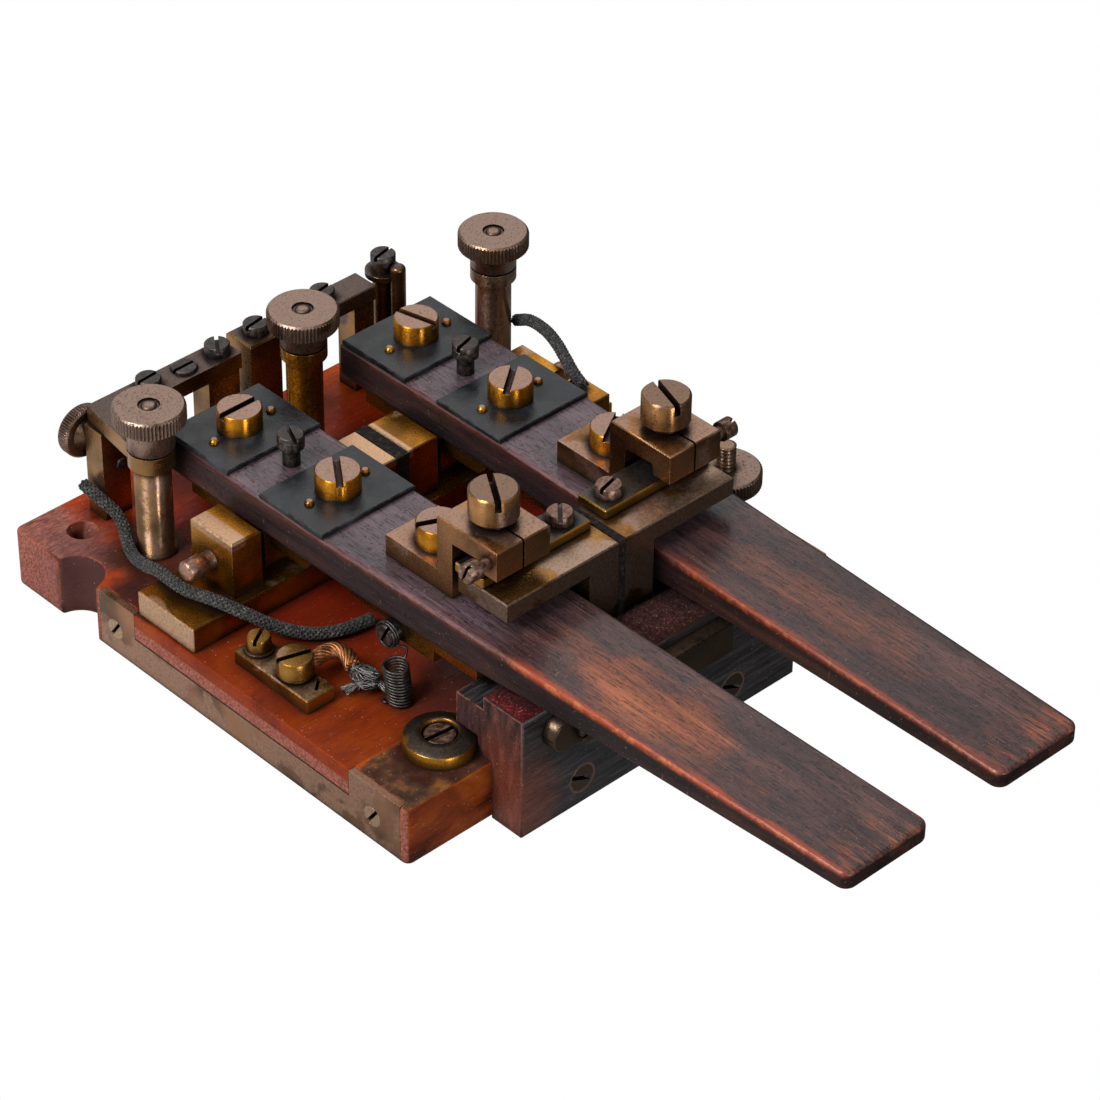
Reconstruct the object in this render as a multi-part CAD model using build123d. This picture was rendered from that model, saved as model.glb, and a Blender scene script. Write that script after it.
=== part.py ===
from build123d import *
import os

# Double-lever telegraph key: two wooden finger levers side by side on a mahogany base.
# Millimetres. X is to the right, Y to the rear, Z up. The origin is the centre of the base's
# underside, and the two levers lie either side of the plane x = 0. Pieces that come in pairs are
# drawn on the right-hand side and mirrored to the left.

# Base board
BASE_WIDTH = 133.0
BASE_LENGTH = 138.0
BASE_TOP = 16.0
SIDE = BASE_WIDTH / 2
FRONT = -BASE_LENGTH / 2
REAR = BASE_LENGTH / 2
NOTCH_RADIUS = 7.0
NOTCH_Y = 45.2
FIXING_X = 55.2
FIXING_Y = 57.5
FIXING_RADIUS = 2.3
FIXING_SINK_RADIUS = 3.6

# Brass strips let into the two long sides of the base
STRIP_THICK = 1.8
STRIP_BOTTOM = 1.0
STRIP_LOW_TOP = 8.7
STRIP_FRONT_EAR = (-66.6, -49.9)
STRIP_REAR_EAR = (24.4, 37.0)
STRIP_SCREWS = ((-57.5, 7.6), (31.6, 7.6))

# Front rest block, its felt and the bar in front of it
REST_X = (-41.6, 44.0)
REST_FRONT = -78.8
REST_REAR = -57.5
REST_STEP_Y = -66.2
REST_STEP_TOP = 29.0
REST_TOP = 32.5
REST_SCREW_X = 23.5
REST_SCREW_Z = 7.2
FELT_THICK = 2.1
BAR_X = (-36.0, 19.2)
BAR_FRONT = -82.8
BAR_BOTTOM = 22.2
BAR_TOP = 30.4
BAR_SCREWS_X = (-26.8, -3.0)
BAR_SCREWS_Z = 26.2

# Bridges that pass over the levers, and the contact strips on them
BRIDGE_FRONT = -66.0
BRIDGE_REAR = -50.5
BRIDGE_BOTTOM = 49.0
BRIDGE_TOP = 53.7
BRIDGE_OUTER = 34.5
BRIDGE_LEG_OUTER = 9.8
SHEET_HALF = 0.9
CONTACT_FRONT = -58.3
CONTACT_REAR = -49.2
CONTACT_THICK = 2.5
CONTACT_SCREW = (7.4, -53.8)

# Levers
LEVER_MID_X = 26.8
LEVER_REAR = 43.0
LEVER_TIP = -168.2
LEVER_TOP = 44.8
LEVER_UNDER = 35.3
LEVER_TIP_TOP = 44.0
LEVER_TIP_UNDER = 39.4
LEVER_OUTER = ((40.9, LEVER_REAR), (40.9, -12.0), (39.4, -63.0), (35.8, LEVER_TIP))
LEVER_INNER = ((10.6, LEVER_TIP), (11.9, -63.0), (12.9, -12.0), (12.9, LEVER_REAR))
LEVER_EDGE_ROUND = 1.0
TIP_CORNER_ROUND = 2.8

# Square insulating plates on the levers, with their screws and pins
PLATE_INNER = 12.9
PLATE_OUTER = 40.9
PLATE_THICK = 1.2
PLATE_TOP = LEVER_TOP + PLATE_THICK
REAR_PLATE = (20.3, 42.3)
FRONT_PLATE = (-12.4, 9.2)
PLATE_SCREWS = ((27.2, 32.0), (26.5, -1.5))
PLATE_PINS = ((18.3, 31.5), (35.8, 30.9), (18.0, -1.0), (35.1, -1.6))
PIN_RADIUS = 1.15
PIN_PROUD = 1.0

# Pivot line of both levers
PIVOT_Y = 14.3
PIVOT_Z = 29.9
PIVOT_POINT_RADIUS = 1.5
PIVOT_SCREW_RADIUS = 2.4
PIVOT_HEAD_RADIUS = 2.6
RUNNING_GAP = 0.05

# Brass fittings under each lever
SADDLE_X = (14.5, 38.8)
SADDLE_Y = (-6.0, 36.0)
SADDLE_PLATE_UNDER = 30.8
SADDLE_BOSS_X = (13.4, 40.4)
SADDLE_BOSS_Y = (8.3, 20.3)
SADDLE_BOSS_UNDER = 25.4
CONTACT_BAR_Y = (-61.0, -19.0)
CONTACT_BAR_UNDER = 32.5
CONTACT_LUG_Y = (-47.0, -31.0)
CONTACT_LUG_UNDER = 29.3
FLEX_SCREW_Y = -34.5
FLEX_SCREW_Z = 31.3

# Contact arm on each lever: a foot, an upright and a split nose over the bridge
ARM_X = (18.2, 33.9)
ARM_FOOT_Y = (-47.8, -26.0)
ARM_FOOT_TOP = 50.5
ARM_UPRIGHT_REAR = -43.0
ARM_NOSE_Y = (-62.0, -57.0)
ARM_NOSE_UNDER = 57.5
ARM_SLAB_UNDER = 60.4
ARM_TOP = 65.0
ARM_SCREW = (26.5, -35.5)
ADJUST_X = 26.0
ADJUST_Y = -52.5
ADJUST_TIP = 57.2
ADJUST_HEAD_UNDER = 67.1
ADJUST_TOP = 73.8
LOCK_Y = -59.0
LOCK_Z = 61.3

# Bearing blocks
BRACKET_FOOT_Y = (4.0, 23.7)
BRACKET_FOOT_TOP = 22.7
BRACKET_FOOT_OUTER = 65.5
BEARING_Y = (6.5, 21.0)
BEARING_TOP = 38.0
OUTER_BEARING_X = (42.8, 51.4)
INNER_BEARING_X = (1.9, 10.9)
SHEET_STACK_HALF = 1.8

# Terminal posts with knurled clamping knobs
LEFT_POST = (-46.7, 40.3)
MIDDLE_POST = (1.5, 42.8)
RIGHT_POST = (56.8, 37.2)
POST_RADIUS = 4.4
POST_FLANGE_RADIUS = 5.0
COLLAR_RADIUS = 5.6
KNOB_RADIUS = 8.6
KNOB_THICK = 4.7
KNURL_TEETH = 60
KNURL_DEPTH = 0.32
STEM_RADIUS = 1.6
LEFT_KNOB_TOP = 57.0
TALL_KNOB_TOP = 60.0
LEFT_HUB_HEIGHT = 7.0
TALL_HUB_HEIGHT = 4.9

# Bars along the rear edge
REAR_BAR_Y = (55.3, 63.0)
REAR_BAR_TOP = 45.1
REAR_BAR_UNDER = 40.8
SUNK_SCREW_DEPTH = 1.9
LEFT_BAR_X = (-47.4, -7.2)
CENTRE_BLOCK_X = (-4.4, 5.0)
RIGHT_BAR_X = (9.0, 35.2)
REAR_FEET_X = ((-48.8, -41.0), (-16.5, -7.2), (29.0, 35.2))
FOOT_PLUG = (-43.2, 29.9)
FOOT_PLUG_RADIUS = 1.7
PILLAR = (40.9, 59.3)
PILLAR_RADIUS = 2.7
PILLAR_FLANGE_RADIUS = 4.5
SIDE_PIN = (41.2, 54.2)
SIDE_PIN_RADIUS = 1.9
SIDE_PIN_TOP = 48.6
THUMB_SCREW_X = -46.6
THUMB_SCREW_Z = 36.0
THUMB_SCREW_RADIUS = 6.6

# Fittings on the open part of the base
CUP = (46.4, -57.4)
CUP_RADIUS = 8.4
CUP_HEIGHT = 4.6
CUP_WALL_HEIGHT = 3.4
CUP_RECESS_RADIUS = 4.1
CUP_CLEARANCE = 0.15
TERMINAL_X = (-60.8, -52.6)
TERMINAL_Y = (-29.7, -4.5)
TERMINAL_TOP = 19.8
WIRE_SCREW = (-56.6, -8.4)
LUG_SCREW = (-56.3, -20.5)
TERMINAL_FIXING = (-54.9, -26.4)
SIDE_POST = (54.6, -44.6)
SIDE_POST_SHOULDER = 30.2
SIDE_NUT_THICK = 4.8
SIDE_STUD_RADIUS = 2.3
SIDE_STUD_TOP = 41.5
CABLE_BLOCK_X = (44.0, 52.3)
CABLE_BLOCK_Y = (-8.4, 2.3)
CABLE_RADIUS = 1.7
FLEX = (42.0, -38.6)
FLEX_RADIUS = 2.8
FLEX_TOP = 26.6
FLEX_BOTTOM = 16.3

# Fasteners: head diameter, head height, shank diameter; countersunk ones by head diameter alone
CLAMP_SCREW = (10.7, 5.3, 5.0)
BAR_SCREW = (6.2, 2.7, 3.0)
SMALL_SCREW = (5.4, 3.4, 3.0)
LUG_SCREW_SIZE = (8.6, 4.6, 4.0)
WIRE_SCREW_SIZE = (5.6, 3.5, 3.0)
STRIP_SCREW_HEAD = 5.2
REST_SCREW_HEAD = 6.8
RETAINER_SCREW = (5.2, 1.9, 3.0)
SCREW_FIT = 0.03
SLOT_SHARE = 0.16
SLOT_DEPTH = 1.3
ARRIS = 0.3

HEADINGS = {
    "up": Rot(0, 0, 0),
    "right": Rot(0, 90, 0),
    "left": Rot(0, -90, 0),
    "rear": Rot(-90, 0, 0),
    "front": Rot(90, 0, 0),
}


def block(x_range, y_range, z_range):
    """A plain box between pairs of limits."""
    spans = (x_range, y_range, z_range)
    centre = [sum(span) / 2 for span in spans]
    size = [span[1] - span[0] for span in spans]
    return Pos(*centre) * Box(*size)


def dressed_block(x_range, y_range, z_range, arris=ARRIS):
    """A box with its sharp edges broken."""
    return chamfer(block(x_range, y_range, z_range).edges(), arris)


def turned(outline):
    """A solid turned about Z from (radius, height) points that start and end on the axis."""
    return revolve(make_face(Polyline(*[(r, 0, z) for r, z in outline], close=True)), Axis.Z)


def rod(x, y, z, length, radius, heading="up"):
    """A round bar that starts at a point and runs along a heading."""
    bar = Cylinder(radius, length, align=(Align.CENTER, Align.CENTER, Align.MIN))
    return Pos(x, y, z) * HEADINGS[heading] * bar


def aimed(solid, x, y, z, heading="up", slot_angle=0.0):
    """Moves a fastener drawn along +Z to its seat."""
    return Pos(x, y, z) * HEADINGS[heading] * Rot(0, 0, slot_angle) * solid


def mirrored(solid):
    """The left-hand twin of a right-hand piece."""
    return mirror(solid, about=Plane.YZ)


def all_of(solids):
    """Several separate solids as one node."""
    return Compound(children=list(solids))


def screwdriver_slot(diameter, top):
    """The cutter for a screwdriver slot across a head whose top is at a given height."""
    width = diameter * SLOT_SHARE
    return Pos(0, 0, top - SLOT_DEPTH / 2) * Box(diameter + 1, width, SLOT_DEPTH + 0.001)


def cheese_screw(size, shank_length, neck=0.0):
    """A slotted screw with a cylindrical head; its seat is at height zero."""
    head, height, shank = size
    top = neck + height
    outline = [(0, -shank_length), (shank / 2, -shank_length), (shank / 2, neck), (head / 2, neck),
               (head / 2, top - ARRIS), (head / 2 - ARRIS, top), (0, top)]
    return turned(outline) - screwdriver_slot(head, top)


def sunk_outline(head, shank, length, grow=0.0):
    """Turning outline of a countersunk screw whose flat top is at height zero."""
    cone = (head - shank) / 2
    return [(0, -length), (shank / 2 + grow, -length), (shank / 2 + grow, -cone), (head / 2 + grow, 0),
            (0, 0)]


def sunk_screw(head, shank, length):
    """A slotted countersunk screw."""
    return turned(sunk_outline(head, shank, length)) - screwdriver_slot(head, 0)


def knurled_disc(radius, thickness):
    """A knurled disc standing on z = 0, its rim broken at top and bottom."""
    outline = []
    for tooth in range(2 * KNURL_TEETH):
        reach = radius - KNURL_DEPTH * (tooth % 2)
        outline.append(Vector(reach, 0, 0).rotate(Axis.Z, 180 * tooth / KNURL_TEETH))
    disc = extrude(make_face(Polyline(*outline, close=True)), amount=thickness)
    bevel = 0.6
    envelope = turned([(0, 0), (radius - bevel, 0), (radius, bevel), (radius, thickness - bevel),
                       (radius - bevel, thickness), (0, thickness)])
    return disc & envelope


def slice_xz(points, y_range):
    """A prism along Y whose section is given as (x, z) points."""
    face = make_face(Polyline(*[(x, y_range[0], z) for x, z in points], close=True))
    return extrude(face, amount=y_range[1] - y_range[0], dir=(0, 1, 0))


def slice_yz(points, x_range):
    """A prism along X whose section is given as (y, z) points."""
    face = make_face(Polyline(*[(x_range[0], y, z) for y, z in points], close=True))
    return extrude(face, amount=x_range[1] - x_range[0], dir=(1, 0, 0))


def slice_xy(points, z_range):
    """A prism along Z whose section is given as (x, y) points."""
    face = make_face(Polyline(*[(x, y, z_range[0]) for x, y in points], close=True))
    return extrude(face, amount=z_range[1] - z_range[0], dir=(0, 0, 1))


def swept_wire(points, radius):
    """A round wire along a smooth curve through the points."""
    path = Spline(*points)
    section = Plane(origin=path @ 0, z_dir=path % 0) * Circle(radius)
    return sweep(section, path=path)


# ---- Base board and what is let into it -------------------------------------------------------

def strip_shape(grow=0.0):
    """Right-hand edge strip: a low band with a full-height ear at each end."""
    front, rear = STRIP_FRONT_EAR[0], STRIP_REAR_EAR[1]
    section = [(front - grow, STRIP_BOTTOM - grow), (rear + grow, STRIP_BOTTOM - grow),
               (rear + grow, BASE_TOP + grow), (STRIP_REAR_EAR[0] - grow, BASE_TOP + grow),
               (STRIP_REAR_EAR[0] - grow, STRIP_LOW_TOP + grow),
               (STRIP_FRONT_EAR[1] + grow, STRIP_LOW_TOP + grow),
               (STRIP_FRONT_EAR[1] + grow, BASE_TOP + grow), (front - grow, BASE_TOP + grow)]
    return slice_yz(section, (SIDE - STRIP_THICK - grow, SIDE + grow))


def base_board():
    """The board, with cable notches, strip recesses, fixing holes and screw holes."""
    board = block((-SIDE, SIDE), (FRONT, REAR), (0, BASE_TOP))
    board = fillet(board.edges().filter_by(Axis.Z), 2.0)
    board = fillet(board.edges().group_by(Axis.Z)[-1], 0.7)
    board = fillet(board.edges().group_by(Axis.Z)[0], 1.2)
    recess_gap = 0.12
    for hand in (1, -1):
        board -= rod(hand * (SIDE + 0.4), NOTCH_Y, -1, BASE_TOP + 2, NOTCH_RADIUS)
        board -= rod(hand * FIXING_X, FIXING_Y, -1, BASE_TOP + 2, FIXING_RADIUS)
        sink = [(0, -2.0), (FIXING_RADIUS, -2.0), (FIXING_SINK_RADIUS, 0), (0, 0)]
        board -= Pos(hand * FIXING_X, FIXING_Y, BASE_TOP) * turned(sink)
        board -= rod(hand * CUP[0], CUP[1], BASE_TOP - 10, 11, 2.0 + SCREW_FIT)
    recess = strip_shape(recess_gap)
    board = board - recess - mirrored(recess)
    for y, z in STRIP_SCREWS:
        hole = rod(SIDE - 9, y, z, 10, 1.4 + SCREW_FIT, "right")
        board = board - hole - mirrored(hole)
    hole_radius = 1.75 + SCREW_FIT
    for hand in (1, -1):
        board -= rod(hand * REST_SCREW_X, FRONT - 1, REST_SCREW_Z, 11, hole_radius, "rear")
    for x, y in (WIRE_SCREW, TERMINAL_FIXING):
        board -= rod(x, y, BASE_TOP - 5, 6, WIRE_SCREW_SIZE[2] / 2 + SCREW_FIT)
    board -= rod(*LUG_SCREW, BASE_TOP - 5, 6, LUG_SCREW_SIZE[2] / 2 + SCREW_FIT)
    return board


def edge_strip():
    """Right-hand brass strip with its countersunk holes."""
    strip = strip_shape()
    for y, z in STRIP_SCREWS:
        hole = turned(sunk_outline(STRIP_SCREW_HEAD, 2.8, 4, SCREW_FIT))
        strip -= aimed(hole, SIDE, y, z, "right")
    return strip


def front_and_strip_screws():
    """Screws through the edge strips and the rest block, and the two that hold the retainer bar."""
    screws = []
    for hand, heading in ((1, "right"), (-1, "left")):
        for y, z in STRIP_SCREWS:
            screw = sunk_screw(STRIP_SCREW_HEAD, 2.8, 8)
            screws.append(aimed(screw, hand * SIDE, y, z, heading, 35 * hand))
        long_screw = sunk_screw(REST_SCREW_HEAD, 3.5, 18)
        place = (hand * REST_SCREW_X, REST_FRONT, REST_SCREW_Z)
        screws.append(aimed(long_screw, *place, "front", -25))
    for x in BAR_SCREWS_X:
        screws.append(aimed(cheese_screw(RETAINER_SCREW, 9), x, BAR_FRONT, BAR_SCREWS_Z, "front", 20))
    return all_of(screws)


def front_rest_block():
    """The dark block screwed to the front of the base, relieved where the corner cups stand."""
    section = [(REST_FRONT, 0), (FRONT, 0), (FRONT, BASE_TOP), (REST_REAR, BASE_TOP),
               (REST_REAR, REST_STEP_TOP), (REST_STEP_Y, REST_STEP_TOP), (REST_STEP_Y, REST_TOP),
               (REST_FRONT, REST_TOP)]
    body = slice_yz(section, REST_X)
    front_edges = body.faces().sort_by(Axis.Y)[0].edges()
    body = fillet(front_edges, 0.6)
    hole = turned(sunk_outline(REST_SCREW_HEAD, 3.5, 11, SCREW_FIT))
    for hand in (1, -1):
        body -= aimed(hole, hand * REST_SCREW_X, REST_FRONT, REST_SCREW_Z, "front")
        body -= rod(hand * CUP[0], CUP[1], BASE_TOP - 1, CUP_HEIGHT + 1 + CUP_CLEARANCE,
                    CUP_RADIUS + CUP_CLEARANCE)
    for x in BAR_SCREWS_X:
        body -= rod(x, REST_FRONT - 1, BAR_SCREWS_Z, 7, RETAINER_SCREW[2] / 2 + SCREW_FIT, "rear")
    return body


def felt_pad():
    """The felt on which the levers come to rest."""
    pad = block((REST_X[0] + 0.5, REST_X[1] - 0.5), (REST_FRONT + 0.5, REST_STEP_Y - 0.2),
                (REST_TOP, REST_TOP + FELT_THICK))
    return fillet(pad.edges().group_by(Axis.Z)[-1], 0.8)


def felt_retainer_bar():
    """The flat bar on the front face of the rest block; its left end is rounded."""
    bar = block(BAR_X, (BAR_FRONT, REST_FRONT), (BAR_BOTTOM, BAR_TOP))
    left_corners = bar.edges().filter_by(Axis.Y).group_by(Axis.X)[0]
    bar = fillet(left_corners, 3.9)
    bar = chamfer(bar.faces().sort_by(Axis.Y)[0].edges(), ARRIS)
    for x in BAR_SCREWS_X:
        bar -= rod(x, BAR_FRONT - 1, BAR_SCREWS_Z, 6, RETAINER_SCREW[2] / 2 + SCREW_FIT, "rear")
    return bar


# ---- Bridges ----------------------------------------------------------------------------------

def bridge():
    """Right-hand bridge: a plate over the lever, standing on a leg at the middle of the key."""
    section = [(SHEET_HALF, REST_STEP_TOP), (BRIDGE_LEG_OUTER, REST_STEP_TOP),
               (BRIDGE_LEG_OUTER, BRIDGE_BOTTOM), (BRIDGE_OUTER, BRIDGE_BOTTOM),
               (BRIDGE_OUTER, BRIDGE_TOP), (SHEET_HALF, BRIDGE_TOP)]
    body = slice_xz(section, (BRIDGE_FRONT, BRIDGE_REAR))
    body = chamfer(body.faces().sort_by(Axis.Z)[-1].edges(), ARRIS)
    return body - rod(*CONTACT_SCREW, BRIDGE_TOP - 4, 5, BAR_SCREW[2] / 2 + SCREW_FIT)


def bridge_insulator():
    """The thin sheet that keeps the two bridges apart."""
    proud = 0.15
    return block((-SHEET_HALF, SHEET_HALF), (BRIDGE_FRONT - proud, BRIDGE_REAR + proud),
                 (REST_STEP_TOP, BRIDGE_TOP + proud))


def contact_strips():
    """The contact strips on the bridges, under the noses of the contact arms."""
    strip = dressed_block((2.2, BRIDGE_OUTER), (CONTACT_FRONT, CONTACT_REAR),
                          (BRIDGE_TOP, BRIDGE_TOP + CONTACT_THICK))
    strip -= rod(*CONTACT_SCREW, BRIDGE_TOP - 1, 5, BAR_SCREW[2] / 2 + SCREW_FIT)
    return all_of([strip, mirrored(strip)])


# ---- Levers and what they carry ---------------------------------------------------------------

def lever():
    """Right-hand wooden lever: a straight bar behind the bridge, a thinning paddle in front."""
    plan = slice_xy(LEVER_OUTER + LEVER_INNER, (LEVER_UNDER - 5, LEVER_TOP + 5))
    side = [(LEVER_REAR, LEVER_UNDER), (LEVER_REAR, LEVER_TOP), (-66.0, LEVER_TOP),
            (LEVER_TIP, LEVER_TIP_TOP), (LEVER_TIP, LEVER_TIP_UNDER), (-94.0, 37.4), (-60.0, LEVER_UNDER)]
    body = plan & slice_yz(side, (0, SIDE))
    tip_corners = body.edges().filter_by(Axis.Z).group_by(Axis.Y)[0]
    body = fillet(tip_corners, TIP_CORNER_ROUND)
    walls = [face for face in body.faces() if abs(face.normal_at().Z) < 0.1]
    rim = [edge for face in walls for edge in face.edges() if abs((edge % 0.5).Z) < 0.9]
    body = fillet(ShapeList(rim), LEVER_EDGE_ROUND)
    for x, y in PLATE_SCREWS + (ARM_SCREW,):
        body -= rod(x, y, LEVER_UNDER - 1, 12, CLAMP_SCREW[2] / 2 + SCREW_FIT)
    body -= rod(LEVER_MID_X, PIVOT_Y, LEVER_UNDER - 1, 12, 2.1 + SCREW_FIT)
    for x, y in PLATE_PINS:
        body -= rod(x, y, LEVER_TOP - 4, 6, PIN_RADIUS + SCREW_FIT)
    return body


def plates():
    """The two square insulating plates on the lever."""
    pieces = []
    for y_range in (REAR_PLATE, FRONT_PLATE):
        plate = block((PLATE_INNER, PLATE_OUTER), y_range, (LEVER_TOP, PLATE_TOP))
        plate = chamfer(plate.edges().group_by(Axis.Z)[-1], 0.25)
        for x, y in PLATE_SCREWS:
            plate -= rod(x, y, LEVER_TOP - 1, 4, CLAMP_SCREW[2] / 2 + SCREW_FIT)
        for x, y in PLATE_PINS:
            plate -= rod(x, y, LEVER_TOP - 1, 4, PIN_RADIUS + SCREW_FIT)
        pieces.append(plate)
    return all_of(pieces)


def clamp_screws(slot_angles):
    """Three large brass screws: two through the plates, one through the foot of the contact arm."""
    under = 32.0
    seats = [(x, y, PLATE_TOP) for x, y in PLATE_SCREWS] + [(*ARM_SCREW, ARM_FOOT_TOP)]
    return all_of(aimed(cheese_screw(CLAMP_SCREW, z - under), x, y, z, "up", angle)
                  for (x, y, z), angle in zip(seats, slot_angles))


def plate_pins():
    """Four small brass pins that locate the plates."""
    depth = 3.8
    dome = [(0, -depth), (PIN_RADIUS, -depth), (PIN_RADIUS, PIN_PROUD - 0.45),
            (PIN_RADIUS - 0.45, PIN_PROUD), (0, PIN_PROUD)]
    return all_of(Pos(x, y, PLATE_TOP) * turned(dome) for x, y in PLATE_PINS)


def pivot_saddle():
    """The brass saddle under the lever; the pivot points run in the ends of its boss."""
    plate = block(SADDLE_X, SADDLE_Y, (SADDLE_PLATE_UNDER, LEVER_UNDER))
    toe = plate.edges().filter_by(Axis.X).group_by(Axis.Y)[0].sort_by(Axis.Z)[0]
    plate = chamfer(toe, 2.5)
    boss = block(SADDLE_BOSS_X, SADDLE_BOSS_Y, (SADDLE_BOSS_UNDER, LEVER_UNDER))
    body = plate + boss
    for x, y in PLATE_SCREWS:
        body -= rod(x, y, 31.9, 5, CLAMP_SCREW[2] / 2 + SCREW_FIT)
    body -= rod(LEVER_MID_X, PIVOT_Y, 29.8, 7, 2.1 + SCREW_FIT)
    bearing = PIVOT_POINT_RADIUS + RUNNING_GAP
    body -= rod(SADDLE_BOSS_X[1] + 1, PIVOT_Y, PIVOT_Z, 4.2, bearing, "left")
    body -= rod(SADDLE_BOSS_X[0] - 1, PIVOT_Y, PIVOT_Z, 4.2, bearing, "right")
    return body


def contact_bar():
    """The brass bar under the front of the lever, with a lug for the flexible connection."""
    bar = block(SADDLE_X, CONTACT_BAR_Y, (CONTACT_BAR_UNDER, LEVER_UNDER))
    bar += block(SADDLE_X, CONTACT_LUG_Y, (CONTACT_LUG_UNDER, CONTACT_BAR_UNDER))
    bar -= rod(*ARM_SCREW, 31.9, 5, CLAMP_SCREW[2] / 2 + SCREW_FIT)
    return bar - rod(SADDLE_X[1] - 7, FLEX_SCREW_Y, FLEX_SCREW_Z, 8, SMALL_SCREW[2] / 2 + SCREW_FIT,
                     "right")


def contact_arm():
    """The cranked brass arm that reaches from the lever over the bridge."""
    section = [(ARM_FOOT_Y[1], LEVER_TOP), (ARM_FOOT_Y[1], ARM_FOOT_TOP),
               (ARM_UPRIGHT_REAR, ARM_FOOT_TOP), (ARM_UPRIGHT_REAR, ARM_TOP),
               (ARM_NOSE_Y[0], ARM_TOP), (ARM_NOSE_Y[0], ARM_NOSE_UNDER),
               (ARM_NOSE_Y[1], ARM_NOSE_UNDER), (ARM_NOSE_Y[1] + 0.6, ARM_SLAB_UNDER),
               (ARM_FOOT_Y[0], ARM_SLAB_UNDER - 0.5), (ARM_FOOT_Y[0], LEVER_TOP)]
    body = slice_yz(section, ARM_X)
    body = chamfer(body.faces().sort_by(Axis.Z)[-1].edges(), ARRIS)
    body -= rod(ADJUST_X, ADJUST_Y, ARM_SLAB_UNDER - 2, 8, 3.0 + RUNNING_GAP)
    slit = 0.6
    body -= block((ADJUST_X - slit / 2, ADJUST_X + slit / 2), (ARM_NOSE_Y[0] - 1, ADJUST_Y),
                  (ARM_NOSE_UNDER - 1, ARM_TOP + 1))
    body -= rod(*ARM_SCREW, LEVER_TOP - 1, 8, CLAMP_SCREW[2] / 2 + SCREW_FIT)
    return body - rod(ADJUST_X - 5, LOCK_Y, LOCK_Z, 14, SMALL_SCREW[2] / 2 + SCREW_FIT, "right")


def small_screws(slot_angle):
    """Three small steel screws: over the pivot, across the split nose, and on the contact bar."""
    necked = (6.4, 3.5, 4.2)
    neck = 53.1 - LEVER_TOP - necked[1]
    over_pivot = aimed(cheese_screw(necked, 14, neck), LEVER_MID_X, PIVOT_Y, LEVER_TOP, "up", slot_angle)
    lock = aimed(cheese_screw((4.8, 3.6, 3.0), 12, 3.0), ARM_X[1], LOCK_Y, LOCK_Z, "right", 20)
    flex = aimed(cheese_screw(SMALL_SCREW, 6), SADDLE_X[1], FLEX_SCREW_Y, FLEX_SCREW_Z, "right", 25)
    return all_of([over_pivot, lock, flex])


def adjusting_screw(slot_angle):
    """The large screw through the nose; its point strikes the contact strip."""
    head_radius = 5.7
    outline = [(0, ADJUST_TIP), (1.6, ADJUST_TIP), (3.0, ADJUST_TIP + 1.4), (3.0, ARM_TOP + 0.2),
               (3.8, ARM_TOP + 0.2), (3.8, ADJUST_HEAD_UNDER), (head_radius, ADJUST_HEAD_UNDER),
               (head_radius, ADJUST_TOP - 0.5), (head_radius - 0.5, ADJUST_TOP), (0, ADJUST_TOP)]
    slot = Pos(0, 0, ADJUST_TOP - 1.4) * Box(13, 1.5, 2.8)
    return aimed(turned(outline) - slot, ADJUST_X, ADJUST_Y, 0, "up", slot_angle)


def flex_lead():
    """The coiled wire between the contact bar and the base, as its outer envelope."""
    return rod(*FLEX, FLEX_BOTTOM, FLEX_TOP - FLEX_BOTTOM, FLEX_RADIUS)


# ---- Bearings ---------------------------------------------------------------------------------

def pivot_bracket():
    """Right-hand bracket: a long foot and the outer bearing block."""
    foot = dressed_block((SHEET_STACK_HALF, BRACKET_FOOT_OUTER), BRACKET_FOOT_Y,
                         (BASE_TOP, BRACKET_FOOT_TOP))
    outer = block(OUTER_BEARING_X, BEARING_Y, (BRACKET_FOOT_TOP, BEARING_TOP))
    outer = chamfer(outer.faces().sort_by(Axis.Z)[-1].edges(), 0.5)
    body = foot + outer
    return body - rod(OUTER_BEARING_X[0] - 1, PIVOT_Y, PIVOT_Z, 12, PIVOT_SCREW_RADIUS + SCREW_FIT, "right")


def inner_bearings():
    """The two bearing blocks at the middle of the key."""
    right = block(INNER_BEARING_X, BEARING_Y, (BRACKET_FOOT_TOP, BEARING_TOP))
    right = chamfer(right.faces().sort_by(Axis.Z)[-1].edges(), ARRIS)
    right -= rod(INNER_BEARING_X[1] - 6, PIVOT_Y, PIVOT_Z, 8, PIVOT_SCREW_RADIUS + SCREW_FIT, "right")
    return all_of([right, mirrored(right)])


def centre_insulator():
    """The sheet stack between the two inner bearing blocks and between the bracket feet."""
    span = (-SHEET_STACK_HALF + 0.02, SHEET_STACK_HALF - 0.02)
    low = block(span, (3.6, 24.1), (BASE_TOP, BRACKET_FOOT_TOP + 0.3))
    return low + block(span, (6.3, 21.2), (BASE_TOP, BEARING_TOP - 0.2))


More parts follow.
